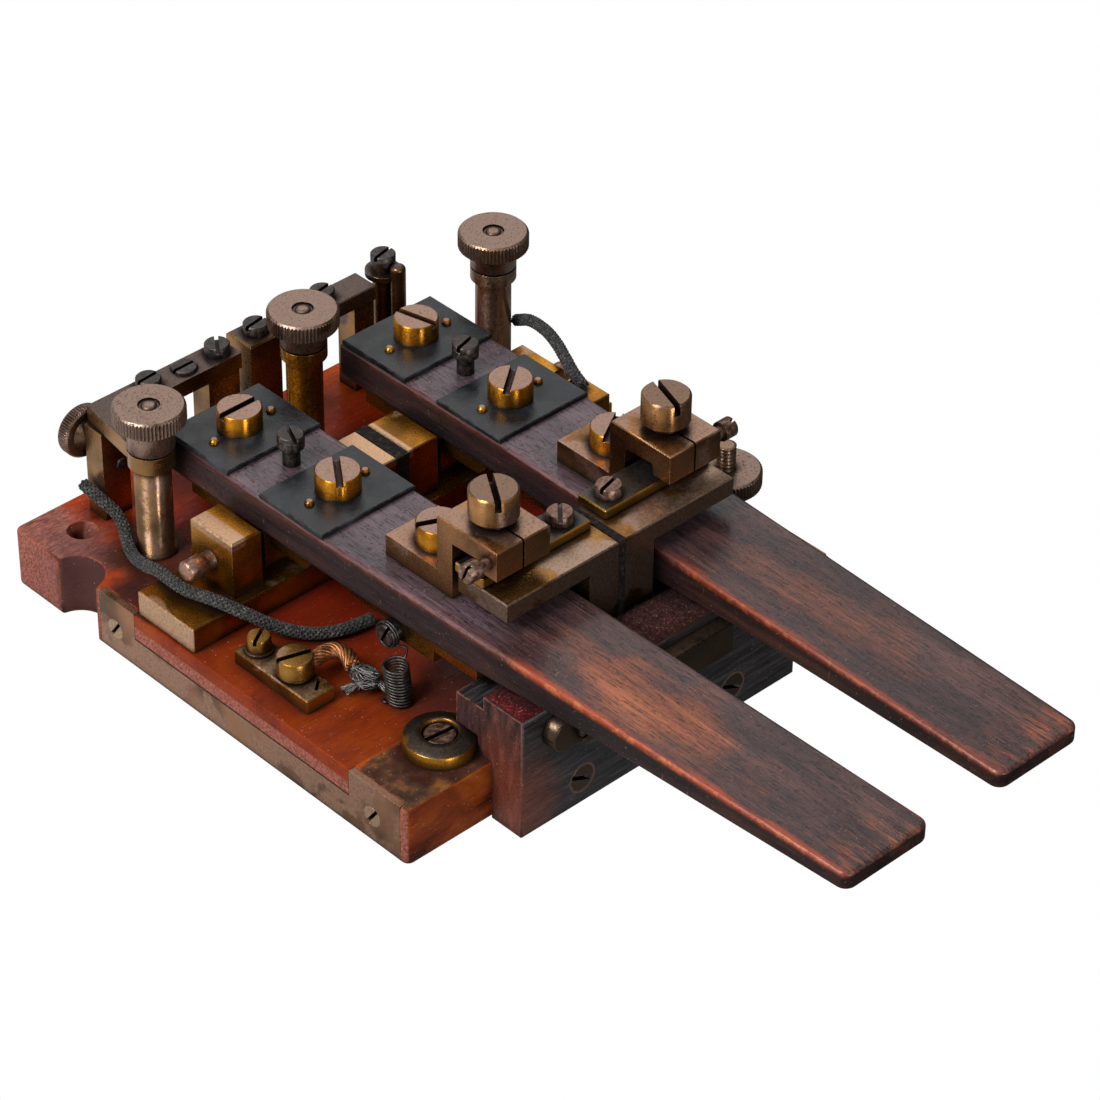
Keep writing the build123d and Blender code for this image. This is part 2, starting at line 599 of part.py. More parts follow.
def pivot_screws():
    """Pivot screws: a round-ended one in each outer block and a short one in each inner block."""
    neck_radius = 2.2
    outer = turned([(0, -12.6), (PIVOT_POINT_RADIUS, -12.6), (PIVOT_POINT_RADIUS, -9.2),
                    (PIVOT_SCREW_RADIUS, -8.4), (PIVOT_SCREW_RADIUS, 0.05), (neck_radius, 0.25),
                    (neck_radius, 2.6), (PIVOT_HEAD_RADIUS, 2.8), (PIVOT_HEAD_RADIUS, 6.9),
                    (PIVOT_HEAD_RADIUS - 0.3, 7.5), (1.6, 7.8), (0, 8.0)])
    inner = turned([(0, -5.9), (PIVOT_SCREW_RADIUS, -5.9), (PIVOT_SCREW_RADIUS, 0),
                    (PIVOT_POINT_RADIUS, 0.8), (PIVOT_POINT_RADIUS, 5.0), (0, 5.0)])
    right = [aimed(outer, OUTER_BEARING_X[1], PIVOT_Y, PIVOT_Z, "right"),
             aimed(inner, INNER_BEARING_X[1], PIVOT_Y, PIVOT_Z, "right")]
    return all_of(right + [mirrored(screw) for screw in right])


# ---- Terminal posts ---------------------------------------------------------------------------

def terminal_post(place, seat, collared):
    """A turned post bored for the stem of its knob; the tall ones flare into a collar."""
    shoulder = [(POST_RADIUS, seat - 0.4), (POST_RADIUS - 0.4, seat)]
    if collared:
        shoulder = [(POST_RADIUS, seat - 4.6), (COLLAR_RADIUS, seat - 3.2), (COLLAR_RADIUS, seat)]
    outline = [(0, BASE_TOP), (POST_FLANGE_RADIUS, BASE_TOP), (POST_FLANGE_RADIUS, BASE_TOP + 0.9),
               (POST_RADIUS, BASE_TOP + 1.1)] + shoulder + [(0, seat)]
    bore = rod(0, 0, BASE_TOP + 12, seat, STEM_RADIUS + RUNNING_GAP)
    return Pos(place[0], place[1], 0) * (turned(outline) - bore)


def clamping_knob(place, top, hub_height):
    """A knurled knob with its hub and stem; the stem end shows as a small button on top."""
    under = top - KNOB_THICK
    seat = under - hub_height
    hub = [(0, seat), (COLLAR_RADIUS - 0.3, seat), (COLLAR_RADIUS, seat + 0.3),
           (COLLAR_RADIUS, under), (0, under)]
    stem = [(0, seat - 9), (STEM_RADIUS, seat - 9), (STEM_RADIUS, seat), (0, seat)]
    button = turned([(0, top), (1.9, top), (1.5, top + 0.5), (0, top + 0.6)])
    recess = turned([(0, top - 0.5), (2.6, top - 0.5), (2.6, top + 1), (0, top + 1)])
    head = Pos(0, 0, under) * knurled_disc(KNOB_RADIUS, KNOB_THICK) - recess
    body = head + turned(hub) + turned(stem) + Pos(0, 0, -0.5) * button
    return Pos(place[0], place[1], 0) * body


# ---- Rear bars --------------------------------------------------------------------------------

def rear_left_bar():
    """The left rear bar, cranked forward to an eye under the left knob."""
    plan = [(LEFT_BAR_X[0], REAR_BAR_Y[1]), (LEFT_BAR_X[1], REAR_BAR_Y[1]),
            (LEFT_BAR_X[1], REAR_BAR_Y[0]), (-42.2, REAR_BAR_Y[0]), (-43.4, 41.0), (-50.4, 41.0)]
    body = slice_xy(plan, (REAR_BAR_UNDER, REAR_BAR_TOP))
    body += rod(*LEFT_POST, REAR_BAR_UNDER, REAR_BAR_TOP - REAR_BAR_UNDER, COLLAR_RADIUS)
    body -= rod(*LEFT_POST, REAR_BAR_UNDER - 1, 8, STEM_RADIUS + RUNNING_GAP)
    for x in (-32.0, -21.3, -11.3):
        body -= rod(x, 59.3, REAR_BAR_UNDER - 1, 8, BAR_SCREW[2] / 2 + SCREW_FIT)
    return body - rod(-21.3, 59.3, REAR_BAR_TOP - SUNK_SCREW_DEPTH, 5, BAR_SCREW[0] / 2 + 0.1)


def rear_bar_feet():
    """Three brass feet under the rear bars; the left one is tapped for the thumb screw."""
    feet = []
    for x_range in REAR_FEET_X:
        foot = block(x_range, (56.4, 62.6), (BASE_TOP, REAR_BAR_UNDER))
        foot -= rod(-11.3, 59.3, REAR_BAR_UNDER - 5, 6, BAR_SCREW[2] / 2 + SCREW_FIT)
        foot -= rod(THUMB_SCREW_X, 57.4, THUMB_SCREW_Z, 6, STEM_RADIUS + RUNNING_GAP, "rear")
        foot -= rod(FOOT_PLUG[0], 60.0, FOOT_PLUG[1], 6, FOOT_PLUG_RADIUS + SCREW_FIT, "front")
        feet.append(foot)
    return all_of(feet)


def rear_centre_block():
    """The tall block between the two rear bars."""
    body = block(CENTRE_BLOCK_X, (REAR_BAR_Y[0], 64.4), (BASE_TOP, REAR_BAR_TOP))
    body = chamfer(body.faces().sort_by(Axis.Z)[-1].edges(), 0.5)
    return body - rod(1.0, 59.8, REAR_BAR_TOP - 5, 6, BAR_SCREW[2] / 2 + SCREW_FIT)


def rear_right_bar():
    """The right rear bar."""
    body = dressed_block(RIGHT_BAR_X, REAR_BAR_Y, (REAR_BAR_UNDER, REAR_BAR_TOP))
    return body - rod(21.8, 59.8, REAR_BAR_UNDER - 1, 8, BAR_SCREW[2] / 2 + SCREW_FIT)


def rear_right_pillar():
    """The slim pillar with a flange at its top, and the round-ended pin that locks the flange."""
    flange_under = 43.9
    flange_top = 45.3
    neck_radius = 2.6
    outline = [(0, BASE_TOP), (PILLAR_RADIUS, BASE_TOP), (PILLAR_RADIUS, flange_under),
               (PILLAR_FLANGE_RADIUS, flange_under), (PILLAR_FLANGE_RADIUS, flange_top),
               (neck_radius, flange_top), (neck_radius, flange_top + 2.0), (0, flange_top + 2.0)]
    pillar = Pos(*PILLAR, 0) * turned(outline)
    pillar -= rod(*PILLAR, flange_top - 3, 6, BAR_SCREW[2] / 2 + SCREW_FIT)
    pillar -= rod(*SIDE_PIN, flange_under - 1, 4, SIDE_PIN_RADIUS + RUNNING_GAP)
    pin = rod(*SIDE_PIN, BASE_TOP, SIDE_PIN_TOP - BASE_TOP, SIDE_PIN_RADIUS)
    pin = fillet(pin.edges().group_by(Axis.Z)[-1], 1.2)
    return all_of([pillar, pin])


def bar_screws():
    """The small screws on the rear bars, the pillar and the bridges, and the plug in the left foot."""
    seats = [(-32.0, 59.3, REAR_BAR_TOP, 4), (-11.3, 59.3, REAR_BAR_TOP, 54),
             (1.0, 59.8, REAR_BAR_TOP, 8), (21.8, 59.8, REAR_BAR_TOP, 10), (*PILLAR, 47.3, 12),
             (*CONTACT_SCREW, BRIDGE_TOP + CONTACT_THICK, 14),
             (-CONTACT_SCREW[0], CONTACT_SCREW[1], BRIDGE_TOP + CONTACT_THICK, 48)]
    screw = cheese_screw(BAR_SCREW, 4.2)
    screws = [aimed(screw, x, y, z, "up", angle) for x, y, z, angle in seats]
    sunk_seat = REAR_BAR_TOP - SUNK_SCREW_DEPTH
    screws.append(aimed(cheese_screw(BAR_SCREW, sunk_seat - REAR_BAR_UNDER), -21.3, 59.3, sunk_seat))
    plug = turned([(0, -3.5), (FOOT_PLUG_RADIUS, -3.5), (FOOT_PLUG_RADIUS, 0.1),
                   (FOOT_PLUG_RADIUS - 0.3, 0.4), (0, 0.4)])
    screws.append(aimed(plug, FOOT_PLUG[0], 56.4, FOOT_PLUG[1], "front"))
    return all_of(screws)


def rear_thumb_screw():
    """The knurled thumb screw at the back of the left foot, on a flared hub."""
    seat = 62.7
    hub_length = 1.6
    head_thick = 3.6
    core = turned([(0, -4.4), (STEM_RADIUS, -4.4), (STEM_RADIUS, 0), (2.2, 0), (4.2, hub_length),
                   (0, hub_length)])
    head = Pos(0, 0, hub_length) * knurled_disc(THUMB_SCREW_RADIUS, head_thick)
    return aimed(core + head, THUMB_SCREW_X, seat, THUMB_SCREW_Z, "rear")


# ---- Fittings on the base ---------------------------------------------------------------------

def corner_cups():
    """The two deep brass cup washers at the front corners of the base."""
    floor = 1.2
    outline = [(0, BASE_TOP), (CUP_RADIUS, BASE_TOP), (CUP_RADIUS, BASE_TOP + CUP_WALL_HEIGHT - 0.3),
               (CUP_RADIUS - 0.3, BASE_TOP + CUP_WALL_HEIGHT),
               (CUP_RECESS_RADIUS + 0.6, BASE_TOP + CUP_HEIGHT),
               (CUP_RECESS_RADIUS, BASE_TOP + CUP_HEIGHT - 0.5), (CUP_RECESS_RADIUS, BASE_TOP + floor),
               (0, BASE_TOP + floor)]
    cup = turned(outline) - rod(0, 0, BASE_TOP - 1, 6, 2.0 + SCREW_FIT)
    return all_of(Pos(hand * CUP[0], CUP[1], 0) * cup for hand in (1, -1))


def corner_cup_screws():
    """The screws recessed in the cup washers."""
    seat = BASE_TOP + 1.2
    screw = cheese_screw((7.6, 2.6, 4.0), 9)
    return all_of(aimed(screw, hand * CUP[0], CUP[1], seat, "up", -6) for hand in (1, -1))


def terminal_block():
    """The small brass terminal block on the left of the base."""
    body = dressed_block(TERMINAL_X, TERMINAL_Y, (BASE_TOP, TERMINAL_TOP))
    body -= rod(*LUG_SCREW, BASE_TOP - 1, 8, LUG_SCREW_SIZE[2] / 2 + SCREW_FIT)
    body -= rod(*WIRE_SCREW, BASE_TOP - 1, 8, WIRE_SCREW_SIZE[2] / 2 + SCREW_FIT)
    sink = turned(sunk_outline(4.6, 3.0, 6, SCREW_FIT))
    return body - Pos(*TERMINAL_FIXING, TERMINAL_TOP) * sink


def terminal_screws():
    """A wire screw with its washer, a large clamping screw and a countersunk fixing screw."""
    washer_thick = 0.7
    washer = Cylinder(3.4, washer_thick) - Cylinder(1.6, washer_thick + 1)
    wire_seat = TERMINAL_TOP + washer_thick
    lug_seat = TERMINAL_TOP + 0.9
    return all_of([
        Pos(*WIRE_SCREW, TERMINAL_TOP + washer_thick / 2) * washer,
        aimed(cheese_screw(WIRE_SCREW_SIZE, wire_seat - BASE_TOP + 3), *WIRE_SCREW, wire_seat, "up", 30),
        aimed(cheese_screw(LUG_SCREW_SIZE, lug_seat - BASE_TOP + 3), *LUG_SCREW, lug_seat, "up", -17),
        aimed(sunk_screw(4.6, 3.0, 7), *TERMINAL_FIXING, TERMINAL_TOP, "up", 40),
    ])


def cable_lug():
    """The copper lug under the clamping screw and the wire tail that leaves it."""
    ring = Cylinder(4.1, 0.8) - Cylinder(LUG_SCREW_SIZE[2] / 2 + SCREW_FIT, 2)
    eye = Pos(*LUG_SCREW, TERMINAL_TOP + 0.45) * ring
    bend = swept_wire([(-50.0, -20.0, 21.6), (-46.6, -19.2, 22.0), (-43.6, -22.0, 21.4),
                       (-43.6, -26.4, 20.4)], 1.75)
    neck = block((-53.5, -49.0), (-22.0, -18.8), (TERMINAL_TOP + 0.05, TERMINAL_TOP + 0.85))
    tail = swept_wire([(-43.9, -28.6, 19.9), (-45.4, -31.6, 19.0), (-47.4, -35.4, 18.3)], 1.6)
    return all_of([eye + neck + bend, tail])


def side_post():
    """The shouldered post with a threaded stud on the right of the base."""
    outline = [(0, BASE_TOP), (5.4, BASE_TOP), (5.4, BASE_TOP + 1.2), (POST_RADIUS, BASE_TOP + 1.4),
               (POST_RADIUS, SIDE_POST_SHOULDER - 0.1), (SIDE_STUD_RADIUS, SIDE_POST_SHOULDER - 0.1)]
    pitch = 1.0
    groove = 0.35
    height = SIDE_POST_SHOULDER + SIDE_NUT_THICK + 0.3
    outline.append((SIDE_STUD_RADIUS, height))
    while height + pitch < SIDE_STUD_TOP:
        outline.append((SIDE_STUD_RADIUS - groove, height + pitch / 2))
        outline.append((SIDE_STUD_RADIUS, height + pitch))
        height += pitch
    outline += [(SIDE_STUD_RADIUS - 0.6, SIDE_STUD_TOP), (0, SIDE_STUD_TOP)]
    return Pos(*SIDE_POST, 0) * turned(outline)


def side_thumb_nut():
    """The knurled nut on the side post's stud."""
    nut = knurled_disc(KNOB_RADIUS, SIDE_NUT_THICK)
    nut -= Cylinder(SIDE_STUD_RADIUS + RUNNING_GAP, 20)
    return Pos(*SIDE_POST, SIDE_POST_SHOULDER) * nut


def cable_block():
    """The tall brass block on which the right-hand cable ends."""
    return dressed_block(CABLE_BLOCK_X, CABLE_BLOCK_Y, (BASE_TOP, BEARING_TOP))


def left_cable():
    """The braided cable from the left rear foot, round the left post and under the left lever."""
    return swept_wire([(-51.4, 61.0, 25.6), (-51.3, 58.2, 25.0), (-50.4, 54.4, 23.3), (-49.6, 51.0, 21.4),
                       (-50.4, 47.4, 19.6), (-52.6, 43.6, 18.5), (-54.9, 38.0, 18.8), (-56.9, 31.4, 21.2),
                       (-58.6, 24.4, 24.4), (-59.2, 14.8, 25.2), (-56.7, 7.0, 25.1), (-53.2, 0.3, 23.3),
                       (-47.8, -5.2, 19.5), (-42.5, -10.5, 18.1), (-36.5, -14.0, 18.1),
                       (-29.0, -15.4, 18.1)], CABLE_RADIUS)


def right_cable():
    """The cable from the right post over to the cable block."""
    return swept_wire([(63.0, 35.6, 32.0), (61.3, 28.9, 36.0), (58.8, 21.0, 38.4), (55.7, 13.9, 39.8),
                       (52.1, 6.7, 40.3), (49.4, 0.8, 40.1), (47.8, -3.9, 39.9)], CABLE_RADIUS)


def export(nodes):
    """Writes one STEP file per node."""
    os.makedirs("parts", exist_ok=True)
    for name, solid in nodes.items():
        export_step(solid, "parts/" + name + ".step")


LEFT_SLOTS = (0, -54, 25)
RIGHT_SLOTS = (-76, 37, 30)

nodes = {
    "base_board": base_board(),
    "left_edge_strip": mirrored(edge_strip()),
    "right_edge_strip": edge_strip(),
    "front_and_strip_screws": front_and_strip_screws(),
    "front_rest_block": front_rest_block(),
    "felt_pad": felt_pad(),
    "felt_retainer_bar": felt_retainer_bar(),
    "left_bridge": mirrored(bridge()),
    "right_bridge": bridge(),
    "bridge_insulator": bridge_insulator(),
    "contact_strips": contact_strips(),
    "left_pivot_bracket": mirrored(pivot_bracket()),
    "right_pivot_bracket": pivot_bracket(),
    "inner_bearings": inner_bearings(),
    "centre_insulator": centre_insulator(),
    "pivot_screws": pivot_screws(),
    "left_post": terminal_post(LEFT_POST, REAR_BAR_UNDER - 0.05, False),
    "middle_post": terminal_post(MIDDLE_POST, TALL_KNOB_TOP - KNOB_THICK - TALL_HUB_HEIGHT - 0.2, True),
    "right_post": terminal_post(RIGHT_POST, TALL_KNOB_TOP - KNOB_THICK - TALL_HUB_HEIGHT - 0.2, True),
    "left_post_knob": clamping_knob(LEFT_POST, LEFT_KNOB_TOP, LEFT_HUB_HEIGHT),
    "middle_post_knob": clamping_knob(MIDDLE_POST, TALL_KNOB_TOP, TALL_HUB_HEIGHT),
    "right_post_knob": clamping_knob(RIGHT_POST, TALL_KNOB_TOP, TALL_HUB_HEIGHT),
    "rear_left_bar": rear_left_bar(),
    "rear_bar_feet": rear_bar_feet(),
    "rear_centre_block": rear_centre_block(),
    "rear_right_bar": rear_right_bar(),
    "rear_right_pillar": rear_right_pillar(),
    "bar_screws": bar_screws(),
    "rear_thumb_screw": rear_thumb_screw(),
    "corner_cups": corner_cups(),
    "corner_cup_screws": corner_cup_screws(),
    "terminal_block": terminal_block(),
    "terminal_screws": terminal_screws(),
    "cable_lug": cable_lug(),
    "side_post": side_post(),
    "side_thumb_nut": side_thumb_nut(),
    "cable_block": cable_block(),
    "left_cable": left_cable(),
    "right_cable": right_cable(),
    "right_lever": lever(),
    "right_lever_plates": plates(),
    "right_clamp_screws": clamp_screws(RIGHT_SLOTS),
    "right_plate_pins": plate_pins(),
    "right_pivot_saddle": pivot_saddle(),
    "right_contact_bar": contact_bar(),
    "right_contact_arm": contact_arm(),
    "right_small_screws": small_screws(15),
    "right_adjusting_screw": adjusting_screw(72),
    "right_flex_lead": flex_lead(),
    "left_lever": mirrored(lever()),
    "left_lever_plates": mirrored(plates()),
    "left_clamp_screws": mirrored(clamp_screws(LEFT_SLOTS)),
    "left_plate_pins": mirrored(plate_pins()),
    "left_pivot_saddle": mirrored(pivot_saddle()),
    "left_contact_bar": mirrored(contact_bar()),
    "left_contact_arm": mirrored(contact_arm()),
    "left_small_screws": mirrored(small_screws(-66)),
    "left_adjusting_screw": mirrored(adjusting_screw(-57)),
    "left_flex_lead": mirrored(flex_lead()),
}
export(nodes)
print(len(nodes), "nodes")
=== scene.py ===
import math
import random

import bpy
from mathutils import Matrix, Vector


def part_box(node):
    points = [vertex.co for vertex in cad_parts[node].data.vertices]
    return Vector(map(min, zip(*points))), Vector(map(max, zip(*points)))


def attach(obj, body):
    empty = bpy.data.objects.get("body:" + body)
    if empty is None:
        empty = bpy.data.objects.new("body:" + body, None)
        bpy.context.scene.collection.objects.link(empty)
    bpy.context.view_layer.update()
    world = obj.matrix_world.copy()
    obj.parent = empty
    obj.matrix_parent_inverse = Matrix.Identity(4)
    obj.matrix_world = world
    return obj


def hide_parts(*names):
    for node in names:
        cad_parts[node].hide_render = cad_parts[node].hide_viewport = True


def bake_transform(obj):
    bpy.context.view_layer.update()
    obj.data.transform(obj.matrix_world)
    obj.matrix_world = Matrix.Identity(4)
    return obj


# Looks for the double-lever telegraph key. Lengths below are in millimetres, in the frame of the
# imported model, unless a name says otherwise; Blender's own units are metres.

MM = 0.001
BLACK = (0.0, 0.0, 0.0)

BASE_TOP = 16.0
BASE_SIDE = 66.5
NOTCH_Y = 45.2
FRONT_EAR_Y = -50.0
REAR_EAR_Y = 24.5
STRIP_LOW_TOP = 9.0
REST_SCREWS = ((-23.5, -78.8, 7.2), (23.5, -78.8, 7.2))

LEVER_NARROWS_Y = -63.0
LEVER_TIP_Y = -168.2
LEVER_WEAR_Z = (42.4, 44.2)

COIL_PLACE = (42.5, -40.0)
COIL_HEIGHTS = (16.5, 25.6)
LEAD_SCREW = (40.5, -34.5, 31.3)

KNOT = (-44.9, -31.0, 19.3)


# ---- Node materials ---------------------------------------------------------------------------

class Graph:
    """Shorthand for building one node material."""

    def __init__(self, name):
        self.material = bpy.data.materials.new(name)
        self.material.use_nodes = True
        self.tree = self.material.node_tree
        self.tree.nodes.clear()
        place = self.add("ShaderNodeTexCoord").outputs["Object"]
        self.place = self.vector("SCALE", place, scale=1 / MM)
        self.normal = self.add("ShaderNodeNewGeometry").outputs["Normal"]

    def add(self, kind, **settings):
        node = self.tree.nodes.new(kind)
        for key, value in settings.items():
            setattr(node, key, value)
        return node

    def plug(self, socket, value):
        """Links a socket to another one, or gives it a constant."""
        if isinstance(value, bpy.types.NodeSocket):
            self.tree.links.new(value, socket)
        elif isinstance(value, tuple) and len(value) == 3 and len(socket.default_value) == 4:
            socket.default_value = (*value, 1.0)
        else:
            socket.default_value = value

    def math(self, operation, a, b=0.0, clamp=False):
        node = self.add("ShaderNodeMath", operation=operation, use_clamp=clamp)
        self.plug(node.inputs[0], a)
        self.plug(node.inputs[1], b)
        return node.outputs[0]

    def vector(self, operation, a, b=None, scale=None):
        node = self.add("ShaderNodeVectorMath", operation=operation)
        self.plug(node.inputs[0], a)
        if b is not None:
            self.plug(node.inputs[1], b)
        if scale is not None:
            self.plug(node.inputs["Scale"], scale)
        return node.outputs["Value"] if operation in ("DOT_PRODUCT", "LENGTH") else node.outputs[0]

    def stretch(self, x, y, z):
        """The place in the object, scaled per axis: a small factor draws a pattern out."""
        return self.vector("MULTIPLY", self.place, (x, y, z))

    def noise(self, scale=1.0, detail=4.0, rough=0.55, where=None, warp=0.0):
        node = self.add("ShaderNodeTexNoise")
        self.plug(node.inputs["Vector"], where or self.place)
        self.plug(node.inputs["Scale"], scale)
        self.plug(node.inputs["Detail"], detail)
        self.plug(node.inputs["Roughness"], rough)
        self.plug(node.inputs["Distortion"], warp)
        return node.outputs["Fac"]

    def between(self, value, low, high, to_low=0.0, to_high=1.0):
        """A soft step: to_low under low, to_high over high."""
        node = self.add("ShaderNodeMapRange", interpolation_type="SMOOTHSTEP")
        self.plug(node.inputs["Value"], value)
        for socket, number in zip(node.inputs[1:5], (low, high, to_low, to_high)):
            self.plug(socket, number)
        return node.outputs["Result"]

    def ramp(self, value, *stops):
        node = self.add("ShaderNodeValToRGB")
        elements = node.color_ramp.elements
        while len(elements) < len(stops):
            elements.new(0.5)
        for element, (position, colour) in zip(elements, stops):
            element.position = position
            element.color = (*colour, 1.0)
        self.plug(node.inputs["Fac"], value)
        return node.outputs["Color"]

    def mix(self, factor, a, b):
        """a where factor is 0, b where it is 1."""
        node = self.add("ShaderNodeMix", data_type="RGBA", blend_type="MIX")
        self.plug(node.inputs[0], factor)
        self.plug(node.inputs[6], a)
        self.plug(node.inputs[7], b)
        return node.outputs[2]

    def axis(self, vector, name):
        node = self.add("ShaderNodeSeparateXYZ")
        self.plug(node.inputs[0], vector)
        return node.outputs[name]

    def upward(self):
        """1 on surfaces that face up."""
        return self.between(self.axis(self.normal, "Z"), 0.6, 0.9)

    def rounded(self, radius):
        """The normal of the surface with its edges rounded off."""
        node = self.add("ShaderNodeBevel", samples=4)
        self.plug(node.inputs["Radius"], radius * MM)
        return node.outputs["Normal"]

    def edges(self, radius, gain=5.0):
        """1 near sharp edges."""
        facing = self.vector("DOT_PRODUCT", self.rounded(radius), self.normal)
        return self.math("MULTIPLY", self.math("SUBTRACT", 1.0, facing), gain, clamp=True)

    def crevice(self, distance, low=0.35, high=0.95):
        """1 in corners and under overhangs, where shade falls; the materials use it to paint that shade
        into their colour.
        """
        node = self.add("ShaderNodeAmbientOcclusion", samples=4)
        self.plug(node.inputs["Distance"], distance * MM)
        return self.between(node.outputs["AO"], low, high, 1.0, 0.0)

    def near(self, centre, inner, outer, squeeze=(1.0, 1.0, 1.0), fray=6.0):
        """1 within a frayed blob around a point."""
        offset = self.vector("MULTIPLY", self.vector("SUBTRACT", self.place, centre), squeeze)
        reach = self.vector("LENGTH", offset)
        wobble = self.math("MULTIPLY", self.math("SUBTRACT", self.noise(0.12, 5), 0.5), 2 * fray)
        return self.between(self.math("ADD", reach, wobble), inner, outer, 1.0, 0.0)

    def ring(self, centre, radius, width, squeeze):
        """1 along a circle around a point; squeeze drops the axis it is seen along."""
        offset = self.vector("MULTIPLY", self.vector("SUBTRACT", self.place, centre), squeeze)
        miss = self.math("ABSOLUTE", self.math("SUBTRACT", self.vector("LENGTH", offset), radius))
        return self.between(miss, width * 0.4, width, 1.0, 0.0)

    def outside(self, low, high, soft):
        """0 within a box, 1 outside it."""
        inside = 1.0
        for axis, least, most in zip("XYZ", low, high):
            along = self.axis(self.place, axis)
            inside = self.math("MULTIPLY", inside, self.between(along, least - soft, least + soft))
            inside = self.math("MULTIPLY", inside, self.between(along, most - soft, most + soft, 1.0, 0.0))
        return self.math("SUBTRACT", 1.0, inside)

    def finish(self, colour, roughness, metal=0.0, height=None, depth=0.1, rounding=0.25, coat=0.0,
               sheen=0.0, specular=0.5, drawn=None):
        """Closes the graph with a principled shader. Drawn stretches highlights along Z."""
        shader = self.add("ShaderNodeBsdfPrincipled")
        if drawn is not None:
            self.plug(shader.inputs["Anisotropic"], drawn)
            upright = self.add("ShaderNodeCombineXYZ")
            self.plug(upright.inputs["X"], 0.02)
            self.plug(upright.inputs["Z"], 1.0)
            self.plug(shader.inputs["Tangent"], upright.outputs[0])
        for name, value in (("Base Color", colour), ("Roughness", roughness), ("Metallic", metal),
                            ("Coat Weight", coat), ("Coat Roughness", 0.2),
                            ("Sheen Weight", sheen), ("Specular IOR Level", specular)):
            self.plug(shader.inputs[name], value)
        surface = self.rounded(rounding) if rounding else None
        if height is not None:
            bump = self.add("ShaderNodeBump")
            self.plug(bump.inputs["Strength"], 1.0)
            self.plug(bump.inputs["Distance"], depth * MM)
            self.plug(bump.inputs["Height"], height)
            if surface:
                self.plug(bump.inputs["Normal"], surface)
            surface = bump.outputs["Normal"]
        if surface:
            self.plug(shader.inputs["Normal"], surface)
        out = self.add("ShaderNodeOutputMaterial")
        self.plug(out.inputs["Surface"], shader.outputs[0])
        return self.material


def scaled(colour, factor):
    """A brighter or darker colour, none of its channels over 1."""
    return tuple(min(1.0, c * factor) for c in colour)


def aged_brass(name, bare, lacquer, tops=0.4, sides=0.8, pits=0.5, turned=False,
               side_shade=1.0, rubbed=(), stained_front=None, relief=0.03):
    """Old brass. Amber lacquer lasts over a share of the tops and of the sides; the rest is bare, dull and
    pitted.
    Faces that do not face up keep side_shade of their brightness, as painted shade. Turned pieces draw
    highlights out along their axis.
    Boxes (low, high) in rubbed are always bare; what lies before stained_front in Y is stained dark."""
    g = Graph(name)
    fine = g.noise(1.5, 6, 0.68)
    metal = g.ramp(fine, (0.34, scaled(bare, 0.60)), (0.50, bare), (0.66, scaled(bare, 1.22)))
    film = g.ramp(g.noise(0.07, 3, 0.5), (0.36, scaled(lacquer, 0.45)), (0.50, lacquer),
                  (0.62, scaled(lacquer, 1.35)))
    up = g.upward()
    share = g.between(up, 0.0, 1.0, (sides - 0.5) * 0.5, (tops - 0.5) * 0.42)
    lasting = g.between(g.math("ADD", g.noise(0.085, 3, 0.5, warp=0.3), share), 0.46, 0.54)
    for low, high in rubbed:
        lasting = g.math("MULTIPLY", lasting, g.outside(low, high, 0.35))
    colour = g.mix(lasting, metal, film)
    # Painted shade: faces that do not face up are darkened towards black, keeping side_shade of their
    # brightness.
    colour = g.mix(g.between(up, 0.0, 1.0, 1.0 - side_shade, 0.0), colour, BLACK)
    specks = g.between(g.noise(1.9, 3, 0.75), 0.60, 0.64, 0.0, pits)
    blots = g.between(g.noise(1.3, 4, 0.6), 0.63, 0.69, 0.0, pits)
    marks = g.math("MAXIMUM", specks, blots)
    marks = g.math("MULTIPLY", marks, g.between(lasting, 0.0, 1.0, 1.0, 0.30))
    colour = g.mix(marks, colour, (0.040, 0.022, 0.015))
    if stained_front is not None:
        before = g.between(g.axis(g.place, "Y"), stained_front - 0.5, stained_front, 0.85, 0.0)
        colour = g.mix(before, colour, (0.030, 0.020, 0.016))
    wear = g.math("MULTIPLY", g.edges(0.25, 4.0), g.between(g.noise(0.9, 4), 0.42, 0.56))
    colour = g.mix(g.math("MULTIPLY", wear, 0.6), colour, (0.62, 0.38, 0.24))
    # Painted shade, partly grime: ambient occlusion darkens corners and slot bottoms towards near black.
    grime_and_crevice_shade = g.math("MULTIPLY", g.crevice(3.0, 0.42, 0.93), 0.9)
    slots = g.crevice(2.0, 0.64, 0.90)
    dirt_and_shade = g.math("MAXIMUM", grime_and_crevice_shade, slots)
    colour = g.mix(dirt_and_shade, colour, (0.012, 0.007, 0.005))
    roughness = g.math("ADD", g.between(fine, 0.35, 0.65, 0.30, 0.44),
                       g.between(lasting, 0.0, 1.0, 0.0, -0.08))
    roughness = g.math("MAXIMUM", roughness, g.math("MULTIPLY", slots, 0.9))
    bumps = g.math("SUBTRACT", g.noise(2.0, 4, 0.55), g.math("MULTIPLY", marks, 0.6))
    drawn = g.between(up, 0.0, 1.0, 0.9, 0.0) if turned else None
    return g.finish(colour, roughness, 0.92, bumps, relief * 0.3 if turned else relief, 0.2, drawn=drawn)


